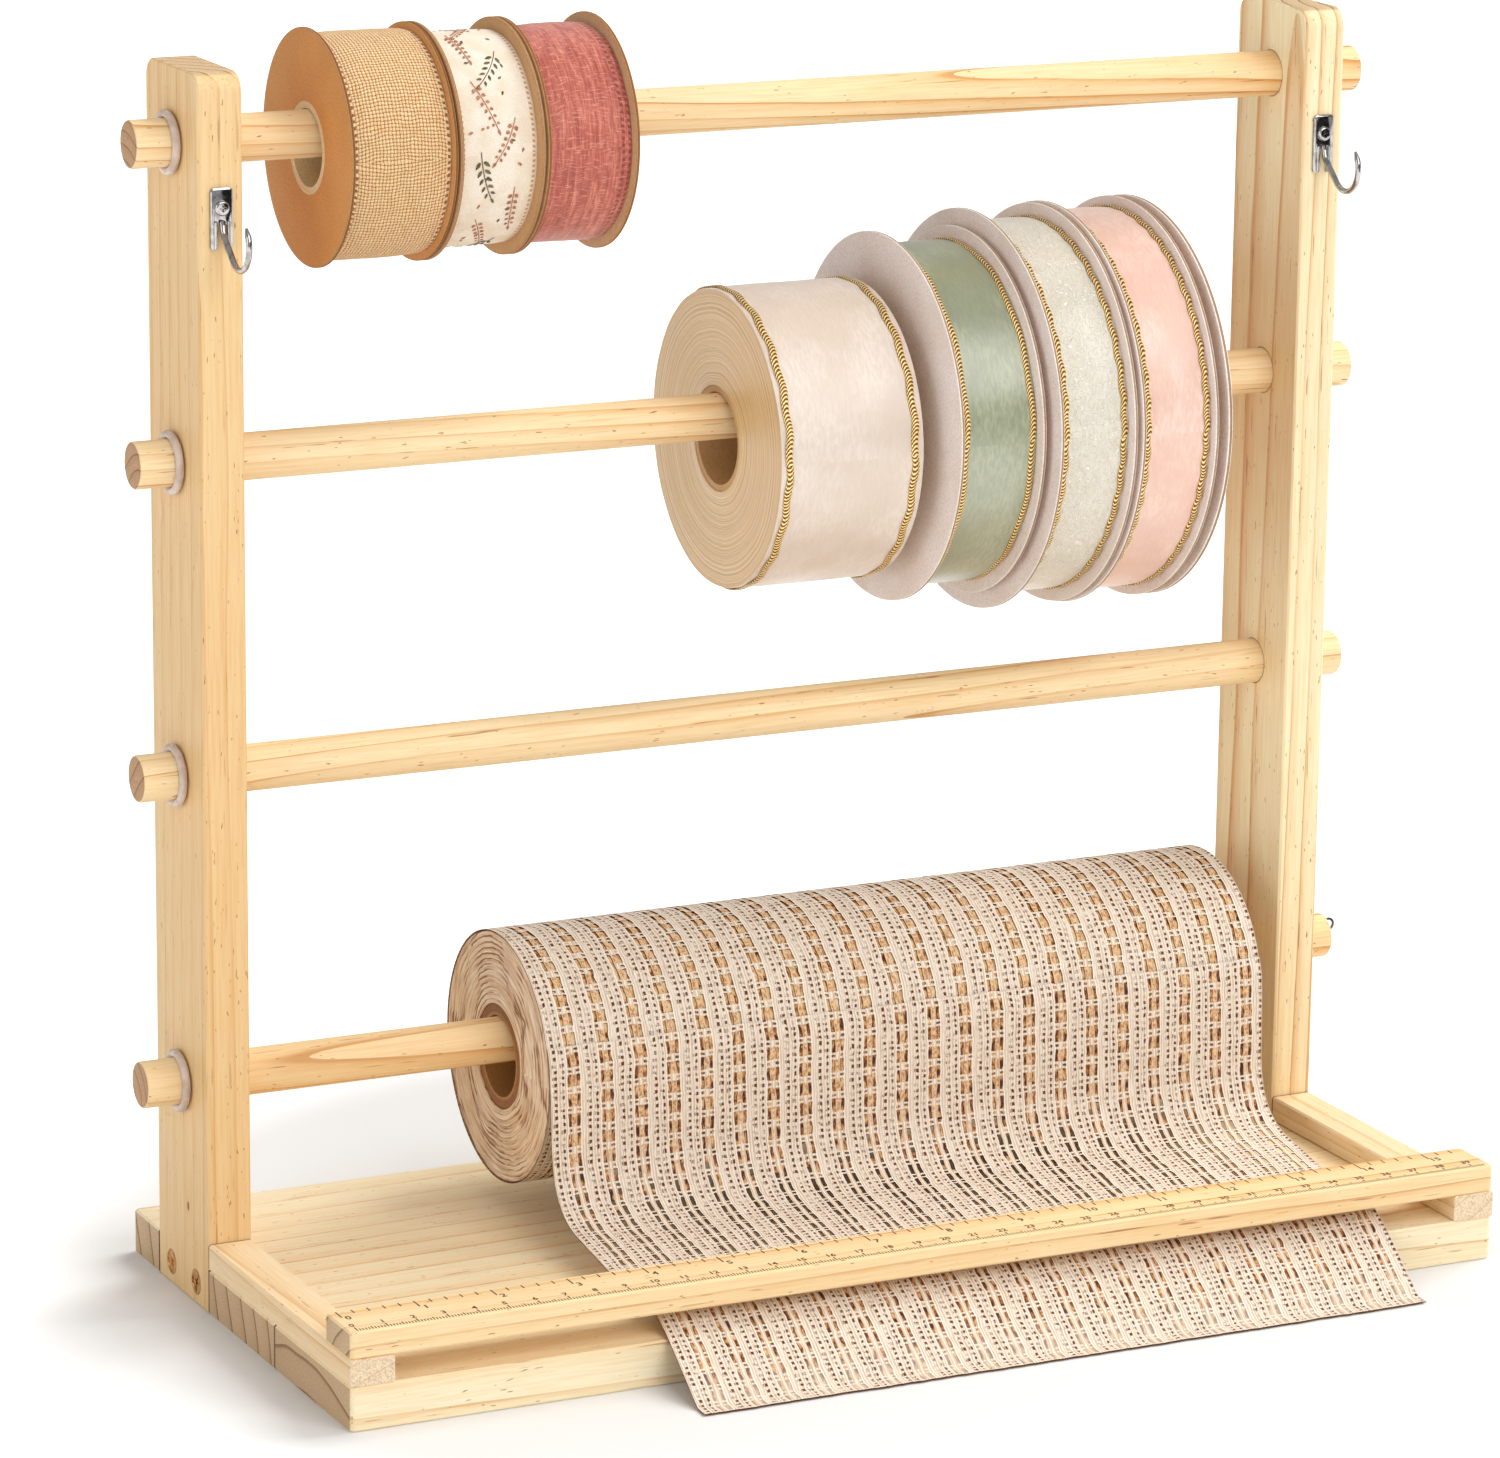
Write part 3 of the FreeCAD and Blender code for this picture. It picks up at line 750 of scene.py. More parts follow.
def card_reel(name, discs, radius, height, face, rim, back):
    """Tube and discs as one piece, in place of the two solids. Gives where its ribbon begins and ends."""
    parts = [reel_part("tube", discs[0][0] + 0.0001, discs[-1][1] - 0.0001, reel_tube, reel_bore, height)]
    parts += [card_disc(left, right, radius, reel_tube - 0.0001, height) for left, right in discs]
    reel = join(f"{name}_reel", parts)
    smooth(30)
    dress(reel, card(f"{name}_card", height, radius, face, rim, back))
    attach(reel, name)
    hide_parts(f"{name}_core", f"{name}_flanges")
    return discs[0][1], discs[1][0]


top_line, second_line = 0.36505, 0.26555
small = {"radius": 0.0370, "height": top_line, "rim": (194, 146, 96)}
burlap_discs = ((-0.1557, -0.1545), (-0.1220, -0.1208))
jute_left, jute_right = card_reel("burlap", burlap_discs, face=(216, 156, 94), back=(150, 98, 58), **small)
sprig_discs = ((-0.1200, -0.1188), (-0.0928, -0.0916))
sprig_card = {"face": (204, 162, 116), "back": (196, 160, 126)}
sprig_left, sprig_right = card_reel("sprig", sprig_discs, **sprig_card, **small)
rose_discs = ((-0.0908, -0.0896), (-0.0611, -0.0599))
rose_left, rose_right = card_reel("rose", rose_discs, face=(206, 168, 128), back=(160, 106, 68), **small)
white = {"height": second_line, "face": (246, 236, 232), "rim": (255, 252, 248), "back": (196, 152, 108)}
sage_ends = card_reel("sage", ((0.0420, 0.0432), (0.0712, 0.0724)), 0.0600, **white)
ivory_ends = card_reel("ivory", ((0.0748, 0.0760), (0.1014, 0.1026)), 0.0654, **white)
blush_ends = card_reel("blush", ((0.1042, 0.1054), (0.1308, 0.1320), (0.1354, 0.1370)), 0.0659, **white)


# ---------------------------------------------------------- ribbon windings
# Each reel's ribbon, wound tight between its discs. The outer turn is slightly crowned and puckered, and
# its selvages stand a hair lower than the middle.


def lay_lines(piece, height):
    """Stores the cloth's own lines on every corner: along it round the reel, and across it along the rod."""
    shape = piece.data
    lines = shape.attributes.new("cloth", "FLOAT_VECTOR", "CORNER").data
    for face in shape.polygons:
        middle = math.atan2(face.center.z - height, face.center.y - rod_line)
        for corner in face.loop_indices:
            spot = shape.vertices[shape.loops[corner].vertex_index].co
            turn = math.atan2(spot.z - height, spot.y - rod_line)
            turn += round((middle - turn) / math.tau) * math.tau
            radius = math.hypot(spot.z - height, spot.y - rod_line)
            lines[corner].vector = (turn * radius, spot.x, radius)


def winding(name, finish, left, right, radius, height, crown=0.0003, pucker=0.00015,
            bore=reel_tube, turns=(), loops=9):
    """The ribbon of a reel, in place of its solid. loops is how finely its outer turn is parted."""
    cloth = reel_part(f"{name}_cloth", left, right, radius, bore, height, turns, 144)
    selvage = 0.0012
    cuts = [left + selvage * 0.5, left + selvage, right - selvage, right - selvage * 0.5]
    cuts += [left + selvage + (right - left - 2 * selvage) * (cut + 1) / (loops + 1) for cut in range(loops)]
    with editing():
        for cut in sorted(cuts):
            bpy.ops.mesh.select_all(action="SELECT")
            bpy.ops.mesh.bisect(plane_co=(cut, 0.0, 0.0), plane_no=(1.0, 0.0, 0.0))
    middle, half = (left + right) / 2, (right - left) / 2
    for vertex in cloth.data.vertices:
        away = Vector((0.0, vertex.co.y - rod_line, vertex.co.z - height))
        if away.length > radius - 0.00005:
            side = abs(vertex.co.x - middle) / half
            rise = crown * (1 - side**4) - crown * 0.6 * (side > 0.995)
            rise += pucker * noise.noise(Vector((vertex.co.x * 60, away.y * 55, away.z * 55)))
            rise += pucker * 0.6 * noise.noise(Vector((vertex.co.x * 300, away.y * 210, away.z * 210)))
            vertex.co += away.normalized() * (rise - crown * 0.5)
    smooth(35)
    lay_lines(cloth, height)
    dress(cloth, finish)
    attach(cloth, name)
    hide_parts(f"{name}_ribbon")


def cloth_lines(finish):
    """A place on the cloth, in metres: along it in X, across it in Y, and how far from the rod in Z."""
    return step("Attribute", {}, "Vector", finish.node_tree, attribute_name="cloth")


def wave(value, pitch, shift=0.0):
    """-1 to 1, once in each pitch."""
    return reckon("SINE", reckon("MULTIPLY_ADD", value, 2 * math.pi / pitch, shift))


def near_line(across, line, half):
    """1 on a line along the ribbon, 0 beyond half a width from it."""
    return fade(abs(across - line), half * 0.6, half, 1.0, 0.0)


# --------------------------------------------------------------- jute ribbon
# Open plain-weave jute, natural straw colour. Uneven threads leave small gaps between them, painted dark
# brown as shade, and the last few threads at each edge are set closer.

jute = new_finish("straw_jute", {"Specular IOR Level": 0.15, "Sheen Weight": 0.2})
lines = cloth_lines(jute)
sway = step("TexNoise", {"Vector": lines, "Scale": 190.0, "Detail": 2.0}, "Color")
sway = vector("SUBTRACT", sway, (0.5, 0.5, 0.5))
swayed = vector("ADD", lines, step("VectorMath", {0: sway, "Scale": 0.0011}, operation="SCALE"))
weft, warp = wave(part(swayed, "X"), 0.0023), wave(part(swayed, "Y"), 0.0023)
weft_body, warp_body = abs(weft), abs(warp)
warp_top = warp_body * reckon("MULTIPLY_ADD", weft_body, 0.5, 0.5)
weft_top = weft_body * reckon("MULTIPLY_ADD", warp_body, 0.5, 0.5)
body = step("Mix", {0: fade(weft * warp, -0.05, 0.05), 2: weft_top, 3: warp_top}, data_type="FLOAT")
painted_hole_shade = fade(reckon("MAXIMUM", weft_body, warp_body), 0.28, 0.60, 1.0, 0.0)
slubs = cloud(lines, 700, 3.0, 0.6)
# The threads are painted lighter on top and darker where they dip under, and the gaps between them dark
# brown: painted shade.
straw = stain(fade(body, 0.1, 0.7), (206, 148, 88), (252, 218, 168))
straw = stain(fade(slubs, 0.4, 0.7, 0.0, 0.5), straw, (240, 212, 176), "MULTIPLY")
straw = stain(painted_hole_shade * 0.85, straw, (150, 92, 46))
whipped = fade(wave(part(lines, "X"), 0.0021), -0.3, 0.3)
for edge in (jute_left + 0.0010, jute_right - 0.0010):
    straw = stain(near_line(part(lines, "Y"), edge, 0.0009) * whipped, straw, (250, 224, 178))
    straw = stain(near_line(part(lines, "Y"), edge, 0.0006) * (1.0 - whipped), straw, (168, 108, 62))
coat(jute, straw, fade(slubs, 0.3, 0.7, 0.75, 0.92), body, 0.0005, 0.9)
winding("burlap", jute, jute_left, jute_right, 0.0350, top_line, 0.0005, 0.0003)


# -------------------------------------------------------------- sprig ribbon
# Cream cotton printed with small sprigs, with a dotted tan stitch near each edge. Each printed sprig is a
# thin film on the cloth: a curved stem with pairs of leaves, or with rust coloured berries.

cotton = new_finish("cream_cotton", {"Specular IOR Level": 0.2, "Sheen Weight": 0.15})
lines = cloth_lines(cotton)
along, across = part(lines, "X"), part(lines, "Y")
body = wave(across, 0.0007) * wave(along, 0.0007)
mottle = cloud(lines, 120, 3.0)
cream = stain(fade(mottle, 0.35, 0.65), (250, 240, 224), (240, 224, 202))
cream = stain(fade(body, -0.8, 0.8, 0.35, 0.0), cream, (228, 210, 186))
stitches = fade(wave(along, 0.0017), -0.1, 0.3)
for edge in (sprig_left + 0.0013, sprig_right - 0.0013):
    cream = stain(near_line(across, edge, 0.00055) * stitches, cream, (206, 160, 106))
coat(cotton, cream, fade(mottle, 0.3, 0.7, 0.68, 0.8), body, 0.00008, 0.5)
sprig_radius = 0.0332
winding("sprig", cotton, sprig_left, sprig_right, sprig_radius, top_line, 0.0004, 0.0002)


def leaf(at, aim, length, width):
    """One leaf shape, pointing along aim, drawn flat: along in X, across in Y."""
    at = Vector((*at, 0.0))
    flat = {"vertices": 8, "radius": 0.5, "fill_type": "NGON"}
    bpy.ops.mesh.primitive_circle_add(location=at, rotation=(0.0, 0.0, aim), **flat)
    bpy.context.object.scale = (length, width, 1.0)
    piece = settle("leaf")
    way = Vector((math.cos(aim), math.sin(aim), 0.0))
    for vertex in piece.data.vertices:
        reach = (vertex.co - at).dot(way) / (length / 2)
        middle = at + way * reach * length / 2
        vertex.co = middle + (vertex.co - middle) * (1.0 - 0.55 * max(reach, 0.0))
        vertex.co += way * length / 2
    return piece


def stem(points, width):
    """A thin line through the points, drawn out step by step."""
    first, second = Vector((*points[0], 0.0)), Vector((*points[1], 0.0))
    side = (second - first).normalized().cross(Vector((0.0, 0.0, 1.0))) * width / 2
    bpy.ops.mesh.primitive_plane_add(size=1.0)
    piece = settle("stem")
    corners = (first - side, first + side, second - side, second + side)
    for vertex, corner in zip(piece.data.vertices, corners):
        vertex.co = corner
    with editing():
        for point in points[2:]:
            ahead = Vector((*point, 0.0))
            pick("EDGE", lambda edge: all((v.co - second).length < width for v in edge.verts))
            draw_out(*(ahead - second))
            second = ahead
    return piece


def sprig(at, aim, size, bend, pairs, berries):
    """A stem that bends, with pairs of leaves or of berries along it, and a leaf at its tip."""
    line, spot, turn = [tuple(at)], Vector(at), aim
    for _ in range(pairs + 1):
        spot = spot + Vector((math.cos(turn), math.sin(turn))) * size / (pairs + 1)
        turn += bend / (pairs + 1)
        line.append(tuple(spot))
    pieces = [stem(line, 0.00028)]
    full, round_share = (0.0015, 0.8) if berries else (0.0025, 0.46)
    for count in range(1, pairs + 1):
        here = line[count]
        ahead = math.atan2(line[count + 1][1] - here[1], line[count + 1][0] - here[0])
        for side in (-1, 1):
            length = full * (1.15 - 0.4 * count / pairs)
            stalk = (here[0] + math.cos(ahead + side) * 0.0007, here[1] + math.sin(ahead + side) * 0.0007)
            pieces.append(leaf(stalk, ahead + side * 0.75, length, length * round_share))
    pieces.append(leaf(line[-1], turn, 0.0022, 0.0009))
    return pieces


drawing = random.Random(7)
greens, rusts = [], []
middle = (sprig_left + sprig_right) / 2
round_about = math.tau * sprig_radius
sprig_count = 18
for count in range(sprig_count):
    side = (-1) ** count
    x = round_about * count / sprig_count + drawing.uniform(-0.001, 0.001)
    at = (x, middle + side * 0.0056 + drawing.uniform(-0.001, 0.001))
    aim = drawing.uniform(-0.25, 0.25) - side * 0.22
    berries = count % 3 != 0
    size, bend = drawing.uniform(0.0140, 0.0170), drawing.uniform(-0.5, 0.5)
    (rusts if berries else greens).extend(sprig(at, aim, size, bend, 6 if berries else 5, berries))
    for _ in range(3):
        spot = (at[0] + drawing.uniform(-0.006, 0.006), middle - side * drawing.uniform(0.0025, 0.0085))
        tone = greens if drawing.random() < 0.35 else rusts
        tone.append(leaf(spot, drawing.uniform(0, math.tau), drawing.uniform(0.0012, 0.0019), 0.0008))

for name, printed, colour, other in (
    ("sprig_green", greens, (88, 80, 58), (126, 114, 86)),
    ("sprig_rust", rusts, (164, 100, 74), (196, 142, 110)),
):
    film = join(name, printed)
    modify(film, "SOLIDIFY", thickness=0.00006, offset=1.0)
    for vertex in film.data.vertices:
        turn, radius = vertex.co.x / sprig_radius, sprig_radius + 0.00032 + vertex.co.z
        across = min(max(vertex.co.y, sprig_left + 0.0022), sprig_right - 0.0022)
        vertex.co = (across, rod_line + radius * math.cos(turn), top_line + radius * math.sin(turn))
    alone(film)
    with editing():
        face_out()
    dress(film, worn_finish(f"{name}_print", colour, other, 800, 2.0, 0.35, 0.65, 0.7, 0.8, 0.15))
    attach(film, "sprig")


# --------------------------------------------------------------- rose ribbon
# Raw silk in dusty rose. Thick and thin threads run along it as darker and lighter streaks, and the cut
# edges fray into a row of short ends.

silk = new_finish("raw_rose_silk", {"Specular IOR Level": 0.35, "Sheen Weight": 0.3})
lines = cloth_lines(silk)
drawn = stretch(lines, (0.10, 1.0, 1.0))
streaks, slubs = cloud(drawn, 2000, 3.0, 0.6), cloud(drawn, 760, 3.0, 0.6)
picks = cloud(stretch(lines, (1.0, 0.14, 1.0)), 2300)
rose = ramp(slubs, [(0.30, (158, 70, 58)), (0.48, (194, 104, 88)), (0.70, (224, 142, 122))])
rose = stain(fade(streaks, 0.40, 0.66, 0.0, 0.75), rose, (164, 76, 64))
rose = stain(fade(picks, 0.5, 0.72, 0.0, 0.65), rose, (236, 158, 138))
short_ends = fade(wave(part(lines, "X"), 0.0021), -0.2, 0.2)
for edge in (rose_left + 0.0008, rose_right - 0.0008, rose_right - 0.0030):
    frayed = near_line(part(lines, "Y"), edge, 0.0007) * short_ends
    rose = stain(frayed * 0.7, rose, (120, 48, 44))
coat(silk, rose, fade(slubs, 0.3, 0.7, 0.48, 0.62), streaks * 0.7 + picks * 0.3, 0.0004, 0.8)
winding("rose", silk, rose_left, rose_right, 0.0338, top_line, 0.0004, 0.0004)


# --------------------------------------------------------------- satin roll
# A wide roll of ivory satin on a plain card tube, with no discs. Its ends show the turns as fine rings,
# because each turn stands a little in or out of the next.


def satin(name, middle, bright, deep, rough=0.34, figure=None, ends=None, gloss=1.5):
    """Woven satin: smooth and bright along the threads, with a fine crinkle.

    figure is the colour of a woven scroll, and ends are the three tones of the turns at a bare roll's ends.
    """
    shine = {"Specular IOR Level": 0.9, "Anisotropic": 0.5, "Sheen Weight": 0.2}
    finish = new_finish(name, {**shine, "Coat Weight": 0.8, "Coat Roughness": 0.40, "Coat IOR": gloss})
    lines = cloth_lines(finish)
    slanted = step("Mapping", {"Vector": lines, "Rotation": (0.0, 0.0, 0.5), "Scale": (0.35, 1.0, 1.0)})
    crinkle, mottle = cloud(slanted, 1000, 3.0), cloud(lines, 45, 3.0)
    colour = stain(fade(crinkle, 0.35, 0.65), middle, bright)
    colour = stain(fade(mottle, 0.35, 0.65, 0.0, 0.7), colour, deep)
    relief = crinkle
    if figure:
        swirls = step("TexNoise", {"Vector": lines, "Scale": 330.0, "Detail": 1.0, "Distortion": 1.4}, "Fac")
        scroll = fade(abs(swirls - 0.5), 0.010, 0.030, 1.0, 0.0)
        colour = stain(scroll * 0.8, colour, figure)
        relief = crinkle + scroll
    if ends:
        shown = fade(abs(part(surface(finish, "Normal"), "X")), 0.5, 0.8)
        wobble = reckon("MULTIPLY_ADD", cloud(surface(finish), 40), 0.0022, part(lines, "Z"))
        layers = cloud(step("CombineXYZ", {0: wobble}), 1300, 2.0, 0.7)
        colour = stain(shown, colour, ramp(layers, list(zip((0.34, 0.5, 0.66), ends))))
    return coat(finish, colour, fade(crinkle, 0.3, 0.7, rough, rough + 0.12), relief, 0.00030, 0.75)


def card_tube(name, finish, body, left, right, radius, bore, height):
    """A plain tube that a roll is wound on, in place of the roll's core."""
    tube = reel_part(name, left, right, radius, bore, height)
    smooth(30)
    dress(tube, finish)
    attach(tube, body)
    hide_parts(f"{body}_core")


satin_left, satin_right = -0.0154, 0.0346
satin_line, satin_radius, satin_bore = 0.26275, 0.0483, 0.0172
steps = random.Random(3)
turns = [(0.00085, side * steps.uniform(0.00004, 0.00022)) for side in (-1, 1) * 17]
ivory_tones = ((226, 210, 194), (235, 221, 208), (218, 198, 180))
end_tones = ((178, 136, 78), (214, 174, 110), (236, 206, 148))
ivory_satin = satin("ivory_satin", *ivory_tones, 0.46, ends=end_tones, gloss=1.4)
wide = {"crown": 0.0003, "pucker": 0.0002, "bore": satin_bore, "turns": turns, "loops": 14}
winding("satin", ivory_satin, satin_left, satin_right, satin_radius, satin_line, **wide)
tube_tones = ((206, 168, 120), (190, 150, 104), (190, 150, 104))
tube_card = card("satin_tube_card", satin_line, satin_bore, *tube_tones)
tube_ends = (satin_left + 0.0004, satin_right - 0.0004)
card_tube("satin_tube", tube_card, "satin", *tube_ends, satin_bore, 0.0150, satin_line)


# ------------------------------------------------------- large spool ribbons
# Sage satin, ivory figured satin and blush satin on the three large reels. They are wound like the small
# ones.

sage = satin("sage_satin", (134, 142, 104), (158, 166, 126), (118, 126, 90), gloss=2.4)
ivory = satin("figured_ivory", (222, 216, 198), (234, 229, 214), (212, 203, 182), 0.44, (255, 252, 242))
blush = satin("blush_satin", (242, 202, 184), (250, 218, 204), (232, 186, 166), 0.44, gloss=1.4)
winding("sage", sage, *sage_ends, 0.0555, second_line)
winding("ivory", ivory, *ivory_ends, 0.0608, second_line)
winding("blush", blush, *blush_ends, 0.0623, second_line)


# ----------------------------------------------------------------- gold wires
# Wire-edged ribbon has a fine wire sewn into each edge under gold thread. The thread is wound over and
# over, so the edge is a row of small twisted beads. Their gold is painted lighter on the crests and in
# glints, and dark in the gaps: painted highlight and painted shade.

bead_pitch = 0.0013
gold_thread = new_finish("gold_thread", {"Metallic": 0.45, "Specular IOR Level": 0.5})
lines = cloth_lines(gold_thread)
twist = wave(reckon("MULTIPLY_ADD", part(lines, "Y"), 0.55, part(lines, "X")), bead_pitch)
glint = cloud(lines, 1500)
# The gold is painted lighter on the bead crests and in glints, and dark brown between the beads: painted
# highlight and painted shade.
lit = fade(reckon("MULTIPLY_ADD", glint, 1.6, twist - 0.8), -1.0, 1.2)
lit_and_shaded_golds = ((0.12, (112, 62, 14)), (0.36, (206, 142, 44)), (0.6, (246, 196, 88)), (0.88, (255, 240, 178)))
coat(gold_thread, ramp(lit, lit_and_shaded_golds), fade(glint, 0.3, 0.7, 0.28, 0.5), twist, 0.0002, 0.4)


def gold_edge(body, height, radius, lines, width=0.0020, thick=0.0004):
    """One twisted ring for each line across the ribbon, joined into one piece."""
    beads = round(math.tau * radius / bead_pitch)
    shape = {"major_radius": radius, "minor_radius": thick}
    shape |= {"major_segments": beads * 3, "minor_segments": 10}
    rings = []
    for line in lines:
        bpy.ops.mesh.primitive_torus_add(location=(line, rod_line, height), rotation=along_x, **shape)
        ring = settle("edge")
        for vertex in ring.data.vertices:
            out = Vector((0.0, vertex.co.y - rod_line, vertex.co.z - height))
            turn, rise, side = math.atan2(out.z, out.y), out.length - radius, vertex.co.x - line
            twist = 1.0 + 0.30 * math.sin(turn * beads + math.atan2(rise, side))
            out = out.normalized() * (radius + rise * twist)
            vertex.co = (line + side * width / thick / 2 * twist, out.y, out.z)
            vertex.co += Vector((0.0, rod_line, height))
        rings.append(ring)
    edge = join(f"{body}_edges", rings)
    smooth(60)
    lay_lines(edge, height)
    dress(edge, gold_thread)
    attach(edge, body)


gold_edge("satin", satin_line, satin_radius + 0.0003, (satin_left + 0.0026, satin_right - 0.0032), 0.0024)
gold_edge("sage", second_line, 0.0556, (0.0461, 0.0696))
gold_edge("ivory", second_line, 0.0611, (0.0789, 0.0998))
gold_edge("blush", second_line, 0.0626, (0.1078, 0.1292))


# ------------------------------------------------------------------ mesh roll
# Decorative mesh, 260 mm wide, rolled on a brown card tube. The turns show at the ends as loose wavy
# rings. The outer turn is real open cloth over them, so that dark gaps and tan turns show through its
# windows.

roll_left, roll_right, roll_line, roll_radius = -0.0915, 0.1685, 0.06535, 0.0413
roll_bore, mesh_skin = 0.0173, 0.00035

tube_tones = ((150, 104, 66), (110, 72, 44), (150, 104, 66), (176, 132, 80))
tube_card = card("roll_tube_card", roll_line, roll_bore, *tube_tones)
tube_ends = (roll_left + 0.0006, roll_right - 0.0006)
card_tube("mesh_roll_tube", tube_card, "mesh_roll", *tube_ends, roll_bore, 0.0134, roll_line)

steps = random.Random(11)
turns = [(0.0010, side * steps.uniform(0.0004, 0.0010)) for side in (-1, 1) * 11]
roll_drum = (roll_left + 0.0003, roll_right - 0.0003, roll_radius - 0.0006, roll_bore, roll_line)
roll_turns = reel_part("mesh_roll_turns", *roll_drum, turns, 160)
for vertex in roll_turns.data.vertices:
    away = Vector((0.0, vertex.co.y - rod_line, vertex.co.z - roll_line))
    from_rim, from_tube = (0.0402 - away.length) / 0.004, (away.length - 0.0178) / 0.004
    ease = min(1.0, max(0.0, from_rim)) * min(1.0, max(0.0, from_tube))
    loose = noise.noise(away * 38 + Vector((vertex.co.x * 9, 0.0, 0.0)))
    vertex.co += away.normalized() * ease * 0.0009 * loose
smooth(35)
lay_lines(roll_turns, roll_line)

turned = new_finish("rolled_mesh", {"Specular IOR Level": 0.2})
lines = cloth_lines(turned)
place, radius = surface(turned), part(lines, "Z")
wobble = reckon("MULTIPLY_ADD", cloud(place, 40, 3.0, 0.6), 0.0048, radius)
spiral = reckon("SINE", wobble * (math.tau / 0.0018) + reckon("DIVIDE", part(lines, "X"), radius))
threads = cloud(stretch(lines, (0.3, 1.0, 6.0)), 260, 3.0, 0.6)
layers = reckon("MULTIPLY_ADD", spiral, 0.3, threads)
# The grooves between the turns on the roll's ends are painted a darker brown: painted shade.
groove_shade = fade(spiral, -0.92, -0.50, 0.9, 0.0) * fade(cloud(place, 95), 0.36, 0.60, 0.3, 1.0)
wool = ((0.27, (116, 78, 50)), (0.34, (208, 176, 146)), (0.50, (234, 210, 182)), (0.68, (252, 238, 218)))
ends = stain(groove_shade, ramp(threads, wool), (140, 94, 60))
under = cloud(stretch(lines, (0.5, 1.0, 1.0)), 620, 3.0, 0.65)
tan = ((0.36, (118, 62, 26)), (0.43, (216, 148, 82)), (0.52, (255, 204, 140)), (0.66, (255, 236, 196)))
shown = fade(abs(part(surface(turned, "Normal"), "X")), 0.4, 0.7)
colour = stain(shown, ramp(under, tan), ends)
coat(turned, colour, fade(threads, 0.3, 0.7, 0.7, 0.85), layers, 0.0005, 0.55)
dress(roll_turns, turned)
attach(roll_turns, "mesh_roll")
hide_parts("mesh_roll_winding")

# One repeat of the mesh: a dense band, then two columns of windows with a cord between them. In each row
# a column has a thread, a small hole, a thread and a long window. The repeats are arrayed flat, the
# windows are cut out, and the cloth is then laid on the roll or along its run. Here and there a small
# hole is closed, or a thread is missing.

repeat_width, window_lines, window_half = 0.0117, (0.0053, 0.0084), 0.0007
repeats, turn_rows = 22, 40
cloth_radius = roll_radius - mesh_skin / 2
row_pitch = math.tau * cloth_radius / turn_rows
row_lines = (0.0, 0.11, 0.25, 0.36, 0.68, 1.0)
open_chances = (0.06, 0.80, 0.06, 1.0, 1.0)
margin = (roll_right - roll_left - repeats * repeat_width) / 2


def flat_mesh(name, rows, half, open_rows=(0.0, 1000.0), hem=False):
    """The cloth lies flat, across in X and along in Y, both from 0. Golden thread fills its windows before
    and after the open rows, and a hem ends it on a whole thread."""
    bpy.ops.object.select_all(action="DESELECT")
    bpy.ops.mesh.primitive_grid_add(x_subdivisions=5, y_subdivisions=5, size=2.0)
    cloth = settle(name)
    columns = (0.0, *(line + side * half for line in window_lines for side in (-1, 1)), repeat_width)
    for vertex in cloth.data.vertices:
        column, row = round((vertex.co.x + 1) * 2.5), round((vertex.co.y + 1) * 2.5)
        vertex.co = (columns[column], row_pitch * row_lines[row], 0.0)
    for count, pitch in ((repeats, (repeat_width, 0.0, 0.0)), (rows + hem, (0.0, row_pitch, 0.0))):
        repeat(cloth, count, pitch, use_merge_vertices=True, merge_threshold=0.00001)
    chance = random.Random(17)

    def window(spot):
        row, share = divmod(spot.y / row_pitch, 1.0)
        if row >= rows or min(abs(spot.x % repeat_width - line) for line in window_lines) > 0.0002:
            return row >= rows and share > row_lines[1]
        if not open_rows[0] + chance.uniform(-1.3, 1.3) <= row < open_rows[1]:
            return False
        return chance.random() < open_chances[sum(share > line for line in row_lines[1:5])]

    with editing():
        pick("FACE", lambda face: window(face.calc_center_median()))
        bpy.ops.mesh.delete(type="FACE")
        for side, reach in ((0.0, -margin), (repeats * repeat_width, margin)):
            pick("EDGE", lambda edge: all(abs(v.co.x - side) < 0.00001 for v in edge.verts))
            draw_out(reach, 0.0, 0.0)
    return cloth


def lay_mesh(cloth, place, drawn_out):
    """Bends the flat cloth to place(along, across), lets its threads wander, and gives it its thickness."""
    noise.seed_set(17)
    shape = cloth.data
    flat = [vertex.co.copy() for vertex in shape.vertices]
    lines = shape.attributes.new("cloth", "FLOAT_VECTOR", "CORNER").data
    for corner, loop in enumerate(shape.loops):
        lines[corner].vector = (flat[loop.vertex_index].y, flat[loop.vertex_index].x, drawn_out)
    widest = max(spot.x for spot in flat)
    for vertex, spot in zip(shape.vertices, flat):
        at = place(spot.y, spot.x)
        inner = 0.0 < spot.x < widest - 0.0001
        drift = noise.noise_vector(at * 420) * 0.00042 + noise.noise_vector(at * 90) * 0.0004
        vertex.co = place(spot.y + drift.x, spot.x + drift.y * inner)
    alone(cloth)
    with editing():
        bpy.ops.mesh.select_all(action="SELECT")
        bpy.ops.mesh.remove_doubles(threshold=0.00002)
        bpy.ops.mesh.flip_normals()
    # The inner side and the window rims take the two finishes of painted shade.
    dress(cloth, mesh_thread, mesh_back_shade, mesh_rim_shade)
    modify(cloth, "SOLIDIFY", thickness=mesh_skin, offset=0.0, material_offset=1, material_offset_rim=2)
    smooth(40)


mesh_thread = new_finish("natural_mesh", {"Specular IOR Level": 0.25, "Sheen Weight": 0.1})
lines = cloth_lines(mesh_thread)
along, across, drawn_out = part(lines, "X"), part(lines, "Y"), part(lines, "Z")
threads = cloud(stretch(lines, (0.05, 1.0, 1.0)), 2300, 2.0, 0.6)
flakes, patchy = cloud(lines, 800, 3.0, 0.6), cloud(lines, 260)
in_repeat = reckon("MODULO", across + repeat_width, repeat_width)
in_row = reckon("MODULO", along + row_pitch, row_pitch)
off_middle = abs(in_repeat - sum(window_lines) / 2)

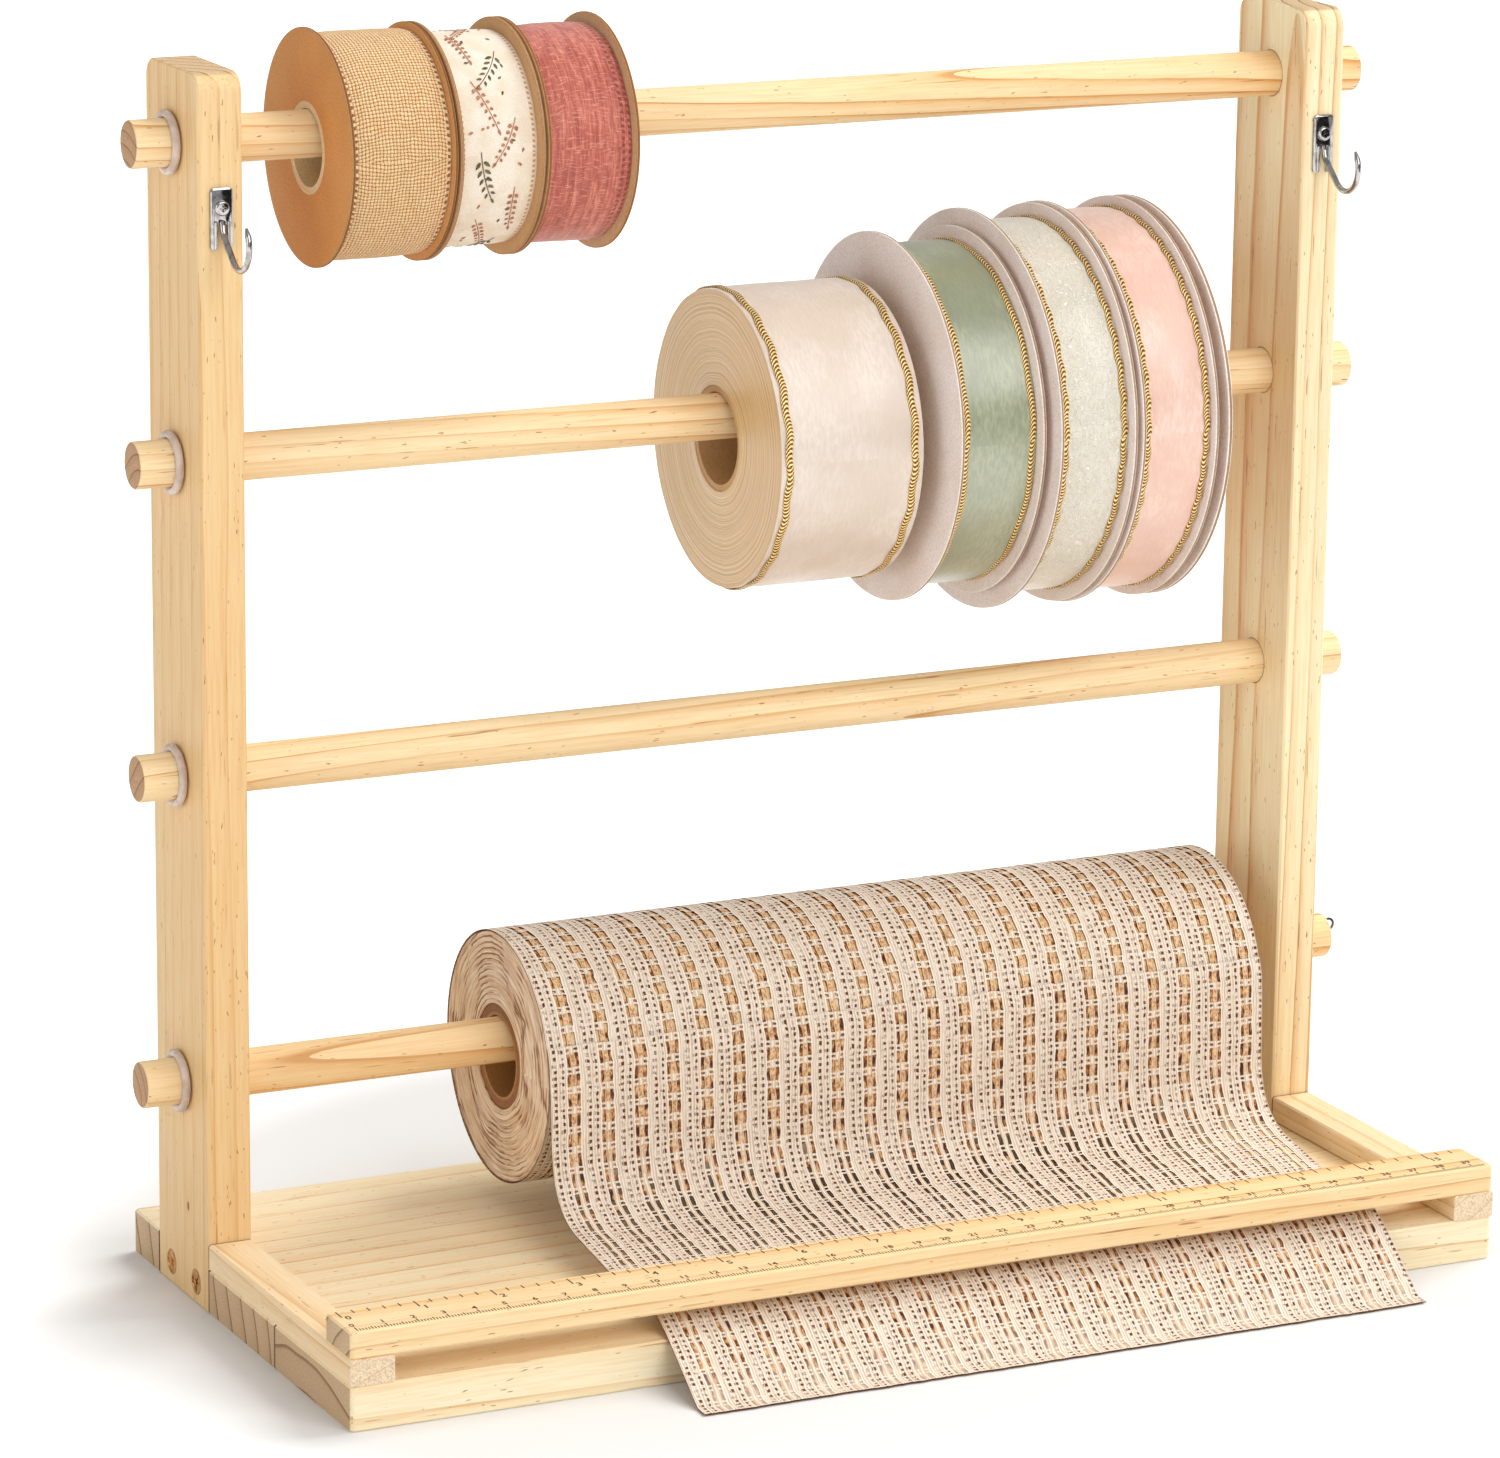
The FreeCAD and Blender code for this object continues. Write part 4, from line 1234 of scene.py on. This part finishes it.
# Wool, with twisted cords beside the windows.
natural = stain(fade(threads, 0.36, 0.64), (243, 227, 207), (212, 187, 160))
natural = stain(fade(flakes, 0.48, 0.72, 0.0, 0.6), natural, (208, 180, 154))
cords = fade(wave(off_middle, 0.00107, 1.0), 0.1, 0.9, 0.0, 0.8)
natural = stain(cords, natural, (254, 247, 236))

# The middle cord is golden on the roll, and pales where the cloth is drawn off.
open_row = fade(in_row, 0.33 * row_pitch, 0.39 * row_pitch)
paling = fade(reckon("MULTIPLY_ADD", cloud(lines, 160), 0.03, along), 0.040, 0.066, 0.0, 0.75)
middle_cord = fade(off_middle, 0.0006, 0.0009, 1.0, 0.0)
golden = stain(fade(flakes, 0.40, 0.58), (182, 124, 72), (240, 200, 146))
natural = stain(middle_cord * open_row * (0.9 - paling * drawn_out), natural, golden)

# Copper thread darns the windows that stay closed. Its darkest browns are painted shade, as seen into an
# open window.
in_hole = fade(abs(in_row - 0.18 * row_pitch), 0.05 * row_pitch, 0.08 * row_pitch, 0.95, 0.0)
window_middle = abs(off_middle - (window_lines[1] - window_lines[0]) / 2)
darning = fade(window_middle, 0.0005, 0.0008, 1.0, 0.0) * reckon("MAXIMUM", open_row, in_hole)
copper = cloud(stretch(lines, (0.5, 1.0, 1.0)), 640, 3.0, 0.65)
copper_and_shade = ((0.42, (74, 34, 14)), (0.50, (148, 88, 42)), (0.57, (206, 152, 96)), (0.68, (236, 204, 160)))
natural = stain(darning * fade(along, 0.150, 0.172, 1.0, 0.5), natural, ramp(copper, copper_and_shade))
lip = fade(abs(off_middle - 0.00240), 0.0001, 0.0003, 1.0, 0.0)
natural = stain(lip * 0.9, natural, (255, 248, 238))

# Rows of pricks between the threads of the dense band, painted dark brown as the shade inside them.
uneven = reckon("MULTIPLY_ADD", patchy, 0.0022, along)
pricks = fade(wave(uneven, row_pitch / 3, 1.0), -0.25, 0.2)
painted_hole_shade = near_line(in_repeat, 0.0006, 0.0006) + near_line(in_repeat, 0.0032, 0.0005)
painted_hole_shade = painted_hole_shade * pricks * fade(patchy, 0.36, 0.52, 0.25, 1.0)
seldom = fade(cloud(lines, 420), 0.46, 0.60, 0.0, 0.75)
seldom = fade(abs(off_middle - 0.0045), 0.00015, 0.00035, 1.0, 0.0) * seldom
natural = stain(reckon("MAXIMUM", painted_hole_shade, seldom * pricks), natural, (100, 50, 16))
coat(mesh_thread, natural, fade(threads, 0.3, 0.7, 0.55, 0.72), threads + cords, 0.00025, 0.6)

# The mesh's inner side is painted a darker tan, and the cut rims of its windows dark brown: painted shade.
inner_side = (1500, 3.0, 0.35, 0.65, 0.6, 0.75)
mesh_back_shade = worn_finish("mesh_back_shade", (200, 160, 118), (150, 104, 66), *inner_side)
mesh_rim_shade = worn_finish("mesh_rim_shade", (112, 66, 34), (60, 32, 14), *inner_side)
leave_turn = math.radians(170)


def round_roll(x, along, radius):
    """A point round the roll, so far along from where the cloth leaves it."""
    turn = leave_turn + along / radius
    return Vector((x, rod_line + radius * math.cos(turn), roll_line + radius * math.sin(turn)))


def on_roll(along, across):
    return round_roll(roll_left + margin + across, along, cloth_radius)


roll_cloth = flat_mesh("mesh_roll_cloth", turn_rows, window_half * 0.85)
lay_mesh(roll_cloth, on_roll, 0.0)
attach(roll_cloth, "mesh_roll")


# ---------------------------------------------------------------- mesh sheet
# The length drawn off the roll: it falls to the base, runs back under the ruler bar through the slot, and
# hangs over the front edge on to the table. It is the same cloth, so its windows carry on from the
# roll's.

run_points = (
    ((0.00564, 0.07264), 0.0), ((0.00020, 0.0268), 0.026), ((-0.0590, 0.0200), 0.080),
    ((-0.08225, 0.0205), 0.020), ((-0.0930, 0.0154), 0.009), ((-0.1170, 0.0007), 0.006),
    ((-0.1260, 0.0007), 0.0),
)


def rounded_run(points):
    """The run's middle line in (Y, Z), straight with round bends: its points, and how far along each is."""
    spots = [Vector(points[0][0])]
    for before, (corner, radius), after in zip(points, points[1:], points[2:]):
        corner = Vector(corner)
        back, ahead = (Vector(before[0]) - corner).normalized(), (Vector(after[0]) - corner).normalized()
        half = math.acos(max(-1.0, min(1.0, back.dot(ahead)))) / 2
        reach = radius / math.tan(half)
        first, last = corner + back * reach, corner + ahead * reach
        for share in [count / 12 for count in range(13)]:
            spots.append(first * (1 - share) ** 2 + corner * 2 * share * (1 - share) + last * share**2)
    spots.append(Vector(points[-1][0]))
    reached = [0.0]
    for one, two in zip(spots, spots[1:]):
        reached.append(reached[-1] + (two - one).length)
    return spots, reached


run_spots, run_reached = rounded_run(run_points)
lead_length = row_pitch
sheet_rows = int(run_reached[-1] / row_pitch) + 1
sheet_width = repeats * repeat_width + 2 * margin
front_left, front_right = -0.0970, 0.1570


def on_run(along, across):
    """The first row lies on the roll, then the cloth follows the run and narrows a little."""
    along = along - lead_length
    share = (across + margin) / sheet_width
    if along <= 0.0:
        radius = 0.0420 + 0.0004 * max(-1.0, along / lead_length)
        return round_roll(roll_left + share * sheet_width, along, radius)
    here = max(0, min(len(run_spots) - 2, sum(1 for reach in run_reached[1:-1] if reach < along)))
    length = (along - run_reached[here]) / (run_reached[here + 1] - run_reached[here])
    spot = run_spots[here].lerp(run_spots[here + 1], length)
    drawn = min(1.0, along / run_reached[-1]) ** 1.25
    left = roll_left + (front_left - roll_left) * drawn
    right = roll_right + (front_right - roll_right) * drawn
    return Vector((left + share * (right - left), spot.x, spot.y))


open_rows = (7.0, 19.0)
mesh_run = flat_mesh("drawn_mesh", sheet_rows, window_half, open_rows, True)
lay_mesh(mesh_run, on_run, 1.0)
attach(mesh_run, "rack")
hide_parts("mesh_sheet")
sheet_length = sheet_rows * row_pitch
window_area = 4 * window_half * 0.75 * row_pitch * repeats * (open_rows[1] - open_rows[0])
cloth_area = sheet_width * sheet_length - window_area


# --------------------------------------------------------- floor, light, camera
# A pale table that keeps the rack's shadow near the rack, and further out glows white as painted light, in
# an even white room. A broad distant lamp on the right throws the shadow, a large soft one high in front
# gives the satin its shine, and a weaker one stands on the left. A black card out of sight gives the chrome
# something dark to show.


def rays(tree, *kinds):
    return [step("LightPath", {}, f"Is {kind} Ray", tree) for kind in kinds]


bpy.ops.object.select_all(action="DESELECT")
bpy.ops.mesh.primitive_plane_add(size=30.0, location=(0.0, 0.0, 0.0))
floor = settle("floor")
pale = bpy.data.materials.new("pale_table")
pale.use_nodes = True
pale.node_tree.nodes.clear()
matt = step("BsdfDiffuse", {"Color": (0.83, 0.83, 0.83, 1.0)}, tree=pale.node_tree)
by_camera, by_gloss, by_passing = rays(pale.node_tree, "Camera", "Glossy", "Transmission")
looked_at = reckon("MAXIMUM", by_camera, reckon("MAXIMUM", by_gloss, by_passing))
# For camera, shine and see-through rays the table glows: nothing within 0.215 m of the middle, half white
# beyond 0.285 m. This is painted light.
painted_glow = looked_at * fade(span(surface(pale)), 0.215, 0.285, 0.0, 0.50)
painted_glow = step("Emission", {"Color": (1.0, 1.0, 1.0, 1.0), "Strength": painted_glow})
table_top = pale.node_tree.nodes.new("ShaderNodeOutputMaterial")
pale.node_tree.links.new(step("AddShader", {0: matt, 1: painted_glow}).socket, table_top.inputs["Surface"])
dress(floor, pale)

room = bpy.data.worlds.new("white_room")
bpy.context.scene.world = room
room.use_nodes = True
air = room.node_tree.nodes["Background"]
air.inputs["Color"].default_value = (1.0, 1.0, 1.0, 1.0)
by_camera, by_passing = rays(room.node_tree, "Camera", "Transmission")
level = reckon("MULTIPLY_ADD", reckon("MAXIMUM", by_camera, by_passing), 0.55, 0.45)
room.node_tree.links.new(level.socket, air.inputs["Strength"])


def lamp(name, kind, way, power, colour, spot=(0.0, 0.0, 0.0)):
    """A lamp that shines along way. Gives its stand."""
    light = bpy.data.lights.new(name, kind)
    light.energy, light.color = power, colour
    stand = bpy.data.objects.new(name, light)
    bpy.context.collection.objects.link(stand)
    stand.location = spot
    stand.rotation_euler = Vector(way).to_track_quat("-Z", "Y").to_euler()
    return stand


key = lamp("key", "SUN", (-1.30, -0.30, -1.50), 2.10, (1.0, 0.985, 0.96))
key.data.angle = math.radians(40.0)
key.visible_glossy = False
rack_middle = Vector((0.0, 0.0, 0.20))
front_fill = ("front_fill", (0.60, -2.30, 2.05), 2.0, 41.0)
left_fill = ("left_fill", (-3.00, -0.90, 1.20), 1.8, 16.0)
for name, spot, size, power in (front_fill, left_fill):
    fill = lamp(name, "AREA", rack_middle - Vector(spot), power, (1.0, 0.985, 0.97), spot)
    fill.data.size = size

card_place = {"location": (0.85, -1.30, 0.30), "rotation": (math.radians(90), 0.0, math.radians(33))}
bpy.ops.mesh.primitive_plane_add(size=1.0, scale=(0.7, 0.6, 1.0), **card_place)
black_card = settle("black_card")
for ray in ("camera", "diffuse", "shadow", "transmission", "volume_scatter"):
    setattr(black_card, "visible_" + ray, False)
dress(black_card, new_finish("black_card", {"Base Color": (0.01, 0.01, 0.01, 1.0), "Roughness": 0.9}))

camera = bpy.data.objects.new("camera", bpy.data.cameras.new("camera"))
bpy.context.collection.objects.link(camera)
camera.data.lens, camera.data.sensor_width = 156.41, 36.0
camera.data.clip_start, camera.data.clip_end = 0.05, 60.0
bearing, dip, roll = math.radians(25.822), math.radians(14.246), math.radians(0.644)
aim = Vector((math.sin(bearing) * math.cos(dip), math.cos(bearing) * math.cos(dip), -math.sin(dip)))
right = aim.cross(Vector((0.0, 0.0, 1.0))).normalized()
up = right.cross(aim)
axes = (right * math.cos(roll) + up * math.sin(roll), up * math.cos(roll) - right * math.sin(roll), -aim)
eye_point = Matrix.Translation((-0.89579, -1.79956, 0.68624))
camera.matrix_world = eye_point @ Matrix(axes).transposed().to_4x4()
bpy.context.scene.camera = camera
bpy.context.scene.view_settings.view_transform = "Standard"
